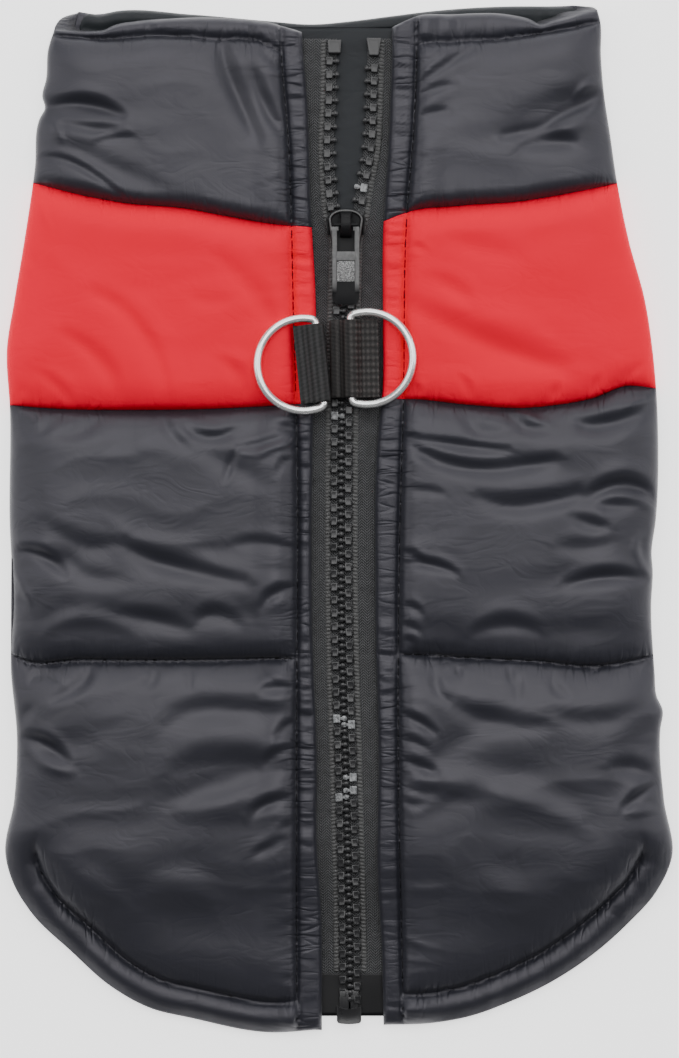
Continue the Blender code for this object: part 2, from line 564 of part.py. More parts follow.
def collar():
    """The collar band: near left wall, left fold, far wall on the table, right fold, near right wall."""
    half = SEAM_GAP / 2
    top_rows = (1.2, COLLAR_TOP_MARGIN)         # a step at the rounded edge, and one at the topstitching
    near = {side: channel(side, NEAR_COLLAR_TOP, COLLAR_SEAM, 0.0, half, first=top_rows)
            for side in (LEFT, RIGHT)}
    outer, inner = [], []
    for side in (LEFT, RIGHT):
        grid = near[side]
        rows, columns = grid.shape[:2]
        x, y = grid[..., 0], grid[..., 1]
        top = near_outer(side, "collar", x, y)
        lying = ground(y) + zip_lift(side, x, y)
        edge = rise(follow(NEAR_COLLAR_TOP, x) - y, COLLAR_EDGE_ROUND)
        top = lying + COLLAR_EDGE + (top - lying - COLLAR_EDGE) * (0.35 + 0.65 * edge)
        top[:, -1] = FOLD_MIDDLE
        rim = grid[:, -1]
        inward = np.tile([-float(side), 0.0], (rows, 1))
        plan = pull_in(side, grid.reshape(-1, 2), FOLD_INSET + 0.2).reshape(grid.shape)
        plan[:, -1] = rim + inward * FOLD_INSET
        low = ground(plan[..., 1]) + zip_lift(side, plan[..., 0], plan[..., 1])
        tuck_outer, tuck_inner = tuck_rows(rim, inward, np.ones(rows))
        rise_to_far = (follow(FAR_COLLAR_TOP, rim[:, 0]) - follow(NEAR_COLLAR_TOP, rim[:, 0]))
        climb = rise_to_far * np.clip((rim[:, 1] - COLLAR_FAR_SEAM) / (rim[0, 1] - COLLAR_FAR_SEAM), 0, 1)
        for step, share in enumerate((0.25, 0.6, 1.0)):
            tuck_outer[step][:, 1] += climb * share
            tuck_inner[step][:, 1] += climb * share
        out_columns = [np.column_stack([grid[:, c], top[:, c]]) for c in range(columns)] + tuck_outer[:3]
        in_columns = [np.column_stack([plan[:, c], low[:, c]]) for c in range(columns)] + tuck_inner[:3]
        if side == RIGHT:
            out_columns.reverse()
            in_columns.reverse()
            start, end = outer[-1][:, :2], out_columns[0][:, :2]
            for k in range(1, FAR_COLUMNS):
                share = k / FAR_COLUMNS
                x = start[:, 0] * (1 - share) + end[:, 0] * share
                far_top = follow(FAR_COLLAR_TOP, x[0])
                fraction = (start[:, 1] - start[-1, 1]) / (start[0, 1] - start[-1, 1])
                low_y = start[-1, 1] * (1 - share) + end[-1, 1] * share
                y = low_y + (far_top - low_y) * fraction
                outer.append(np.column_stack([x, y, np.zeros(rows)]))
                edge = BELLY_TOP - 1.3 * (1 - rise(far_top - y, 2.0))
                inner.append(np.column_stack([x, y, edge]))
        outer += out_columns
        inner += in_columns
    rows = len(outer[0])
    cells = grid_cells(rows, len(outer))
    outer, inner = [np.stack(columns, axis=1).reshape(-1, 3) for columns in (outer, inner)]
    thick_sheet("collar", cells, outer, inner, "black_nylon")


def collar_lining():
    """The smooth inside of the far collar wall, behind the open zip."""
    y = np.linspace(*LINING_Y, LINING_ROWS)
    left, right = [np.column_stack([np.full(LINING_ROWS, x), y]) for x in LINING_X]
    low = BELLY_TOP + SEAM_GAP
    slab("collar_lining", left, right, low, low + LINING_WALL, "lining")


def slab(name, rows_left, rows_right, low, high, finish):
    """A strip between two edge lines (x, y rows), with a low and a high face at the given heights."""
    plan = np.stack([rows_left, rows_right], axis=1).reshape(-1, 2)
    low = np.repeat(np.broadcast_to(low, (len(rows_left),)), 2)
    high = np.repeat(np.broadcast_to(high, (len(rows_left),)), 2)
    cells = grid_cells(len(rows_left), 2)
    return thick_sheet(name, cells, np.column_stack([plan, high]), np.column_stack([plan, low]), finish)


def prism(name, outline, low, high, finish, axis="z"):
    """An outline of plan points, extruded from low to high along an axis."""
    count = len(outline)
    points = [(a, b, level) for level in (low, high) for a, b in outline]
    if axis == "x":
        points = [(c, a, b) for a, b, c in points]
    faces = [tuple(range(count)), tuple(range(2 * count - 1, count - 1, -1))]
    faces += [(i, i + count, (i + 1) % count + count, (i + 1) % count) for i in range(count)]
    return add_solid(name, np.array(points), faces, finish)


def join_to(thing, others):
    """Fuses other solids into one, and keeps them as guides."""
    for other in others:
        fuse = thing.modifiers.new(other.name, "BOOLEAN")
        fuse.operation = "UNION"
        fuse.object = other
        other.hide_render = True
        other.display_type = "WIRE"


def arc(centre, radius, start, end, steps):
    return [(centre[0] + radius * math.cos(math.radians(start + (end - start) * k / steps)),
             centre[1] + radius * math.sin(math.radians(start + (end - start) * k / steps)))
            for k in range(steps + 1)]


def band_outline(path, thickness):
    """Outline of a strip of even thickness that follows a path of points."""
    path = np.array(path)
    run = np.gradient(path, axis=0)
    run /= np.linalg.norm(run, axis=1)[:, None]
    normal = np.stack([-run[:, 1], run[:, 0]], axis=1) * thickness / 2
    return [tuple(p) for p in path + normal] + [tuple(p) for p in (path - normal)[::-1]]


def set_on_bar(points, ring, tilt=0.0):
    """Local points (away from the bar, along it, up) to their place at a ring's bar."""
    place = dict(zip(RING_COLUMNS, RINGS[ring]))
    turn, tilt = math.radians(place["turn"]), math.radians(tilt)
    u, v, w = np.array(points, dtype=float).T
    u, w = u * math.cos(tilt) - w * math.sin(tilt), u * math.sin(tilt) + w * math.cos(tilt)
    u = u * place["way"]
    x = place["x"] + u * math.cos(turn) - v * math.sin(turn)
    y = place["y"] + u * math.sin(turn) + v * math.cos(turn)
    return np.column_stack([x, y, w + place["z"]])


def belly_panel():
    y = np.linspace(BELLY_NECK, BELLY_END, 24)
    inset = TUCK_WIDTH + SEAM_GAP
    edge = {side: np.stack([side_height(side, y) - side * inset, y], axis=1) for side in (LEFT, RIGHT)}
    outline = list(map(tuple, edge[LEFT]))
    outline += [(x, float(follow(BELLY_HEM, x))) for x in (-50.0, -25.0, 0.0, 25.0, 50.0)]
    outline += list(map(tuple, edge[RIGHT][::-1]))
    panel = prism("belly_panel", outline, 0.0, BELLY_TOP, "black_nylon")
    for k, (x, y) in enumerate(LEG_HOLES):
        around = [(x + LEG_HOLE_SIZE[0] / 2 * math.cos(a), y + LEG_HOLE_SIZE[1] / 2 * math.sin(a))
                  for a in np.linspace(0, 2 * math.pi, 28, endpoint=False)]
        cutter = prism(f"leg_hole_{k}", around, -2.0, BELLY_TOP + 2.0, "lining")
        cut = panel.modifiers.new(cutter.name, "BOOLEAN")
        cut.operation = "DIFFERENCE"
        cut.object = cutter
        cutter.hide_render = True
        cutter.display_type = "WIRE"


def zip_parts():
    y = np.linspace(125.4, -130.4, 52)
    bottom = ground(y) + TAPE_LIFT
    top = bottom + TAPE_WALL + SEAM_GAP
    for side, word in ((LEFT, "left"), (RIGHT, "right")):
        reach = 6.0 - 6.5 * smooth_step((-108.0 - y) / 10.0)
        under = np.column_stack([follow(ZIP_EDGE[side], y) + side * reach, y])
        beside = np.column_stack([chain_side(side, y) + side * 0.6, y])
        slab(f"zip_tape_{word}", under, beside, bottom, bottom + TAPE_WALL, "zip_tape")
        run = np.linspace(119.8, -126.4, 50)
        base = ground(run) + TAPE_LIFT + TAPE_WALL + SEAM_GAP
        near = np.column_stack([chain_side(side, run), run])
        far = near + np.array([side * CHAIN_WIDTH, 0.0])
        slab(f"zip_teeth_{word}", near, far, base, base + CHAIN_HEIGHT, "zip_plastic")
    for word, (x0, y0, x1, y1) in TOP_STOPS.items():
        stop = [(x0, y0), (x1, y0), (x1, y1 - 0.8), (x1 - 0.8, y1), (x0 + 0.8, y1), (x0, y1 - 0.8)]
        prism(f"top_stop_{word}", stop, top[0], top[0] + 2.0, "zip_plastic")
    x0, y0, x1, y1 = BOTTOM_BOX
    prism("bottom_box", [(x0, y0), (x1, y0), (x1, y1), (x0, y1)], top[-1], top[-1] + 1.9, "zip_plastic")


def zip_slider():
    x, y = SLIDER_MIDDLE
    half = SLIDER_WIDTH / 2
    chain_top = BELLY_TOP + LAYER_CLEAR + TAPE_LIFT + TAPE_WALL + SEAM_GAP + CHAIN_HEIGHT
    plate = chain_top + SEAM_GAP
    shield = [(x + half * math.cos(a), SLIDER_TOP - 3.2 + 3.2 * math.sin(a))
              for a in np.linspace(0, math.pi, 11)]
    shield += [(x - half, SLIDER_TOP - 5.0), (x - 3.9, SLIDER_BOTTOM + 1.5), (x - 3.3, SLIDER_BOTTOM),
               (x + 3.3, SLIDER_BOTTOM), (x + 3.9, SLIDER_BOTTOM + 1.5), (x + half, SLIDER_TOP - 5.0)]
    slider = prism("zip_slider", shield, plate, plate + PLATE_WALL, "zip_plastic")
    slot = BELLY_TOP + LAYER_CLEAR + TAPE_LIFT
    lower = prism("slider_lower_plate", shield, slot - 0.8, slot - SEAM_GAP, "zip_plastic")
    wedge = prism("slider_wedge", [(x - 0.7, 78.6), (x + 0.7, 78.6), (x + 0.7, 80.6), (x - 0.7, 80.6)],
                  slot - 0.5, plate + 0.3, "zip_plastic")
    top = plate + PLATE_WALL
    arch = [(80.2, top - 0.3), (79.9, 9.9), (78.9, 10.7), (77.0, 11.0), (74.9, 10.7), (73.8, 9.8),
            (73.4, top - 0.3), (74.3, top - 0.3), (74.6, 9.5), (75.4, 9.95), (77.0, 10.15), (78.5, 9.9),
            (79.1, 9.4), (79.3, top - 0.3)]
    bridge = prism("slider_bridge", arch, x - BRIDGE_WIDTH / 2, x + BRIDGE_WIDTH / 2, "zip_plastic", "x")
    flanges = [prism(f"slider_flange_{word}",
                     [(x + way * 4.75, 76.2), (x + way * 5.2, 76.2), (x + way * 5.2, 78.3),
                      (x + way * 4.75, 78.3)], slot + TAPE_WALL + SEAM_GAP, plate + 0.3, "zip_plastic")
               for way, word in ((LEFT, "left"), (RIGHT, "right"))]
    join_to(slider, [lower, wedge, bridge, *flanges])


def zip_pull():
    half, arm = PULL_WIDTH / 2, 1.25
    window = 7.2
    end = PULL_LENGTH - 1.0
    frame = [(-half, 0.9), (-half, -end + 2.4), (-half + 0.8, -end + 0.8), (-half + 2.4, -end),
             (half - 2.4, -end), (half - 0.8, -end + 0.8), (half, -end + 2.4), (half, 0.9),
             (half - arm, 0.9), (half - arm, -window), (-half + arm, -window), (-half + arm, 0.9)]
    pull = prism("zip_pull", frame, -PULL_WALL / 2, PULL_WALL / 2, "zip_plastic")
    pin_outline = arc((0.0, 0.0), 0.5, 0, 315, 7)
    pin = prism("pull_pin", pin_outline, -half + 0.4, half - 0.4, "zip_plastic", "x")
    for thing in (pull, pin):
        for vertex in thing.data.vertices:
            px, py, pz = vertex.co
            cos, sin = math.cos(PULL_TILT), math.sin(PULL_TILT)
            vertex.co = (px + SLIDER_MIDDLE[0] * MM, py * cos - pz * sin + PULL_PIN_Y * MM,
                         py * sin + pz * cos + PULL_PIN_HEIGHT * MM)
    join_to(pull, [pin])


def webbing_loops():
    loop_radius = WIRE_RADIUS + SEAM_GAP + WEBBING_WALL / 2
    # each path: away from the bar, up from the bar's middle; it is a strip folded double round the bar
    paths = {
        "left": [(5.9, -1.1), (3.4, -1.15), (1.95, -1.2)] + arc((0, 0), loop_radius, -55, -270, 9)
                + [(1.7, 1.3), (3.4, 0.3), (5.9, 0.0)],
        "right": [(7.2, -1.75), (3.0, -1.75), (-4.6, -1.75)] + arc((-4.6, -1.2), 0.55, -120, -240, 3)
                 + [(-4.4, -0.65), (-2.6, -0.5), (-1.9, 0.35)] + arc((0, 0), loop_radius, 150, 30, 4)
                 + [(1.9, 0.35), (2.8, -0.5), (4.4, -0.65), (7.2, -0.65)],
    }
    for word, path in paths.items():
        outline = band_outline(path, WEBBING_WALL)
        half = WEBBING_WIDTH / 2
        count = len(outline)
        local = [(u, v, w) for v in (-half, half) for u, w in outline]
        faces = [tuple(range(count)), tuple(range(2 * count - 1, count - 1, -1))]
        faces += [(i, i + count, (i + 1) % count + count, (i + 1) % count) for i in range(count)]
        add_solid(f"webbing_loop_{word}", set_on_bar(local, word), faces, "webbing")


def d_rings():
    straight = RING_ARC_RADIUS * math.sin(math.radians(RING_ARC_OPEN)) - 1.5
    bow = arc((RING_ARC_SET, 0.0), RING_ARC_RADIUS, RING_ARC_OPEN, -RING_ARC_OPEN, 22)
    corner = [(0.25, straight + 0.85), (0.0, straight)]
    path = corner[::-1] + bow + [(u, -v) for u, v in corner]
    path += [(0.0, straight * k) for k in (-0.34, 0.34)]
    path = np.array(path)
    run = np.roll(path, -1, axis=0) - np.roll(path, 1, axis=0)
    run /= np.linalg.norm(run, axis=1)[:, None]
    sides = 8
    for word, row in RINGS.items():
        tilt = dict(zip(RING_COLUMNS, row))["tilt"]
        points = []
        for (u, v), (du, dv) in zip(path, run):
            for k in range(sides):
                angle = 2 * math.pi * k / sides
                out = WIRE_RADIUS * math.cos(angle)
                points.append((u + dv * out, v - du * out, WIRE_RADIUS * math.sin(angle)))
        count = len(path)
        faces = [(i * sides + k, i * sides + (k + 1) % sides, (i + 1) % count * sides + (k + 1) % sides,
                  (i + 1) % count * sides + k) for i in range(count) for k in range(sides)]
        add_solid(f"d_ring_{word}", set_on_bar(points, word, tilt), faces, "nickel")


def main():
    for thing in list(bpy.data.objects):
        bpy.data.objects.remove(thing, do_unlink=True)
    half = SEAM_GAP / 2
    collar()
    for side, word in ((LEFT, "left"), (RIGHT, "right")):
        yoke = channel(side, COLLAR_SEAM, YOKE_SEAM, -half, half)
        near_panel(f"yoke_{word}", side, [("yoke", yoke)], "red_nylon", False)
        upper = channel(side, YOKE_SEAM, QUILT_LINE, -half, 0.0)
        lower = tail_channel(side)
        near_panel(f"body_{word}", side, [("upper", upper), ("lower", lower)], "black_nylon", True)
    belly_panel()
    collar_lining()
    zip_parts()
    zip_slider()
    zip_pull()
    webbing_loops()
    d_rings()


main()
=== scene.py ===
# %% [markdown]
# # A padded winter coat for a small dog
# The coat lies flat on its belly side and is seen from above. It is a flattened tube of quilted nylon:
# a black collar, two red yokes, two black body panels with one quilting line, and a moulded zip down the
# middle. A stiff model of it exists as the CAD frame. This lesson dresses that frame: the folds and
# puckers of the cloth, the stitches, the teeth of the zip, the woven loops and the bright rings.

# %% Open the frame
import math
from contextlib import contextmanager
import bmesh
import bpy
import numpy as np
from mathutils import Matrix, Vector
from mathutils.geometry import delaunay_2d_cdt


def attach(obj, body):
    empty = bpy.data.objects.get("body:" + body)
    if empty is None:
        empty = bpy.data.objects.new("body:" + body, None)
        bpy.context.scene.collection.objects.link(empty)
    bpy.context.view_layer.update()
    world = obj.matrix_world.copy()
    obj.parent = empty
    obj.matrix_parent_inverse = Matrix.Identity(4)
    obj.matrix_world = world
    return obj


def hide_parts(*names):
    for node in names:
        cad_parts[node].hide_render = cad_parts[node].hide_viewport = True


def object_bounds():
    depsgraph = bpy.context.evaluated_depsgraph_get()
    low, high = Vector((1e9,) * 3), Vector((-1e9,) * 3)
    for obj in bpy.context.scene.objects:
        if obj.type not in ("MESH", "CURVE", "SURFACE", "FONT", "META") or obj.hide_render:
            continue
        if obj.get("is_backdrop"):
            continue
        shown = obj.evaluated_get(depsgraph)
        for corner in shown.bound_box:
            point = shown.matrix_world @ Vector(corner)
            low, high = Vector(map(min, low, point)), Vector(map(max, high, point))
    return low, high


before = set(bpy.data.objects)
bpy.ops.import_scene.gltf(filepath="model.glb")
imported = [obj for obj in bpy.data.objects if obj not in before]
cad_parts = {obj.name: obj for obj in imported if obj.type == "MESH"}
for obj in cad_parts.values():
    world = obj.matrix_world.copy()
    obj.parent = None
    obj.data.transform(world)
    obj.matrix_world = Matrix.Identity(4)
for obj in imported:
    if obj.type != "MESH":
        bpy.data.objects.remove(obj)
cad_box = [[float(value) for value in corner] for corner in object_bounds()]
print("CAD box, mm:", [[round(value * 1000, 1) for value in corner] for corner in cad_box])

# %% [markdown]
# ## The sizes of the coat
# A maker works from a pattern: the outline of the coat, and the lines where its pieces are sewn. These
# are the same lines as the CAD model's, in millimetres, X to the right and Y towards the collar, so
# every piece made here lands on the solid that it stands for.

# %% Heights and widths
MM = 0.001
PER_MM = 1000.0             # texture coordinates are metres
LEFT, RIGHT = -1, 1
SIDE_NAMES = {LEFT: "left", RIGHT: "right"}
SEAM_GAP = 0.3
BELLY_TOP, LAYER_CLEAR = 3.0, 0.4
STITCH_WALL, ZIP_LIFT = 2.6, 1.7
TAPE_LIFT, TAPE_WALL, CHAIN_HEIGHT = 0.7, 0.6, 1.2
FOLD_RADIUS, FOLD_MIDDLE = 15.0, 4.6
HEM_RADIUS, HEM_MIDDLE, HEM_MARGIN = 4.5, 2.3, 8.0
UNDER_RADIUS, TUCK_WIDTH, TUCK_TOP = 4.0, 12.0, 2.6
TAIL_START, TAIL_END = -82.0, -110.0
COLLAR_TOP_MARGIN, COLLAR_FAR_SEAM = 4.4, 88.0
SEAM_CRACK, CRACK_WIDTH = 1.1, 0.55   # how deep the thread pulls a sewn line in, and how wide
PANEL_WIDTH = 70.0


def table(text):
    """Rows of numbers, with a comma between rows and a space between numbers."""
    return tuple(tuple(map(float, row.split())) for row in text.split(","))


# %% The outline of each side, from the collar's corner round the hem to the zip: x y
OUTLINE = {
    LEFT: table("""-73.6 129.4, -74.3 126.9, -75.6 123, -76.2 115, -77.2 110.2, -76.5 107.4, -77.9 104.6,
        -79.1 92, -81.9 72.7, -84.5 57.1, -86.4 45, -85.6 28, -85.7 0, -84.8 -22, -85.4 -38, -83.8 -57,
        -84.5 -72.7, -86.8 -87.5, -84.9 -94.6, -80.1 -102.6, -69.7 -112.7, -59.4 -121.8, -49 -127.5,
        -38.6 -130, -17.8 -133.8, -4.5 -133"""),
    RIGHT: table("""67.4 133, 68.2 130, 68.4 121, 69.2 111, 70.7 101, 72.6 88, 75.7 72.7, 79.9 57.1, 82 43,
        83.3 22, 82.7 0, 81.6 -9, 81.9 -13, 81.5 -22, 82.4 -40, 82.9 -45.8, 84.5 -49.6, 83.9 -54.5,
        84.8 -72.7, 86.9 -88, 82.9 -97, 75.7 -105.2, 65.3 -114.3, 54.9 -121, 44.5 -125.9, 34.2 -129.6,
        23.8 -131.4, 11.8 -131.8"""),
}

# %% Sewn lines: the ones that cross the coat are x y and the ones that run down it are y x
COLLAR_SEAM = table("""-79.6 87.8, -65.3 84.2, -56.5 82.6, -39.6 81, -28.2 78.9, -12.3 76.4, 12 77.6,
    18.3 80.1, 31.8 81.8, 47.1 82.9, 62.5 85.5, 73.4 87.8""")
YOKE_SEAM = table("""-85.6 29.9, -76.8 29.1, -51.3 28.6, -35.5 28.8, -18 29.6, 11.6 31.4, 19.1 31.4,
    34.2 29.9, 47.1 29.1, 56.8 29.9, 66.4 31.7, 74.7 34.8, 82.7 34.3""")
QUILT_LINE = table("""-85.2 -35.1, -81.7 -36.6, -68.2 -36.4, -40.1 -36.4, -12.3 -35.8, 16.8 -34.8,
    34.2 -35.8, 51 -36.6, 67.9 -37.9, 75.2 -36.9, 82.7 -35.3""")
NEAR_COLLAR_TOP = table("""-74.2 127.8, -63.9 127.4, -60.9 127.7, -58.9 128.7, -52.9 129.9, -43.8 130.6,
    -34.4 130.9, -18 129.4, -9 126.8, 12 127.3, 19.6 130.9, 29.7 131.7, 44.8 131.6, 49.2 130.7, 53 129.2,
    55.6 130.1, 59.6 131.1, 63.9 132.4, 68 132.9""")
COLLAR_MARGIN_SEAM = table("""-74.4 126.2, -61.9 125.2, -45.1 126, -31.6 125.2, -20.4 124.4, -15.7 122.3,
    -9 121.8, 12 122.4, 21.2 123.9, 31.8 124.4, 39.6 124.9, 48.2 126, 56.5 127.3, 67.7 129.7""")
FAR_COLLAR_TOP = table("""-73.8 129.7, -72.5 131.1, -69.9 132.3, -65.3 132.6, -63 132.2, -58 133.1,
    -38.6 132.2, -17.8 130.4, -7.4 129.6, 3 130.4, 13.4 131.7, 23.8 133, 44.5 134.3, 54.9 134.3, 63 134.3,
    66.5 134, 68 133.2""")
ZIP_EDGE = {
    LEFT: table("""134 -9.6, 126.8 -9.5, 110 -8.2, 79 -7.1, 55 -5.9, 30 -6.5, -36 -6.6, -60 -5.6, -86 -5.6,
        -100 -4.6, -134 -4.3"""),
    RIGHT: table("""134 14, 123.1 13.9, 106 13.4, 86 12.3, 76.4 11.7, 50.6 11.6, 33 11.4, 24 10.4, -20 9.6,
        -62 10.4, -93 10.2, -111 11.2, -134 11.8"""),
}
PLACKET_STITCH = {
    LEFT: table("""134 -15.2, 122 -14.9, 99 -13.1, 75 -12.2, 56 -11.8, 26 -10.9, -60 -10.9, -134 -10.9"""),
    RIGHT: table("""134 20.5, 120 20.3, 102 19.6, 79 17.8, 32 16.9, -11 15.8, -73 15.7, -123 16.8,
        -134 17"""),
}
CHAIN_MIDDLE = table("""124 3.6, 110 3.3, 95 2.6, 86 2, 81 1.9, 70 1.8, 50 1.2, 31 0.9, -31 0.9, -67 1.9,
    -122 3, -131 3""")
CHAIN_OPENING = table("""124 3.3, 110 3.2, 95 3, 86 1.9, 81 1.3, 72 0.15, 60 0.15, -131 0.15""")
BELLY_HEM = table("""-74 -78, -50 -80, 0 -81, 50 -80, 74 -78""")

# %% [markdown]
# The largest folds are in the CAD model too. A fold has a middle (x y), a direction in degrees, a
# length, a width and a depth, which is negative for a trough and positive for a ridge. The puff of the
# wadding is a height, and how far it takes to rise from a crossing line and from the placket.

# %% The largest folds and the puff of the wadding
FOLDS = table("""-68 107 -6 13 3.4 -2.6, -66 100.5 8 15 3.2 1.2, -57 90.5 -24 17 2.6 -1.3,
    -26 111.5 -68 15 3.4 -1.9, -19 107.5 -63 10 3 -1.5, 57 106.5 20 15 3.8 -2.2, 66 109.5 6 9 3 -2.2,
    54 98 -3 10 3.4 -1.8, 25 104 48 12 3 -1.2, 27 114 25 12 2.8 -1.2, -56 46 -50 22 6 1.4,
    -35 62 8 20 5 -0.9, 44 42 4 22 6 -1.6, 50 60 -12 22 6 -0.8, -24 22.5 8 13 2.8 -1.6,
    -29 14.5 -28 9 2.8 -1.5, -75 -10.5 6 13 3.2 -1.6, -38 -10 12 18 4 -1.3, -44 -26.5 2 34 4.6 -2,
    38 18 -14 22 3.2 -1.9, 70 25.5 10 14 3 -1.6, 56 6 8 14 3 -1.5, 74 7 14 12 3 -1.4,
    66 -14.5 6 16 3.6 -1.5, 56 -29 0 30 4.4 -1.9, -27 -50 -4 18 3.8 -1.4, -76 -60 14 12 3.8 -1.7,
    -27 -68 10 20 4.4 -1.2, -50 -92 -16 26 6 0.9, 31 -58 34 17 3.8 -1.6, 33 -72 24 17 3.8 -1.2,
    78 -58 62 14 3.4 -1.6, 52 -96 14 24 6 0.9""")
PUFFS = {"collar": (4.2, 4.2, 9.0), "yoke": (4.4, 8.0, 10.0), "upper": (5.6, 11.0, 11.0),
         "lower": (5.2, 15.0, 12.0)}
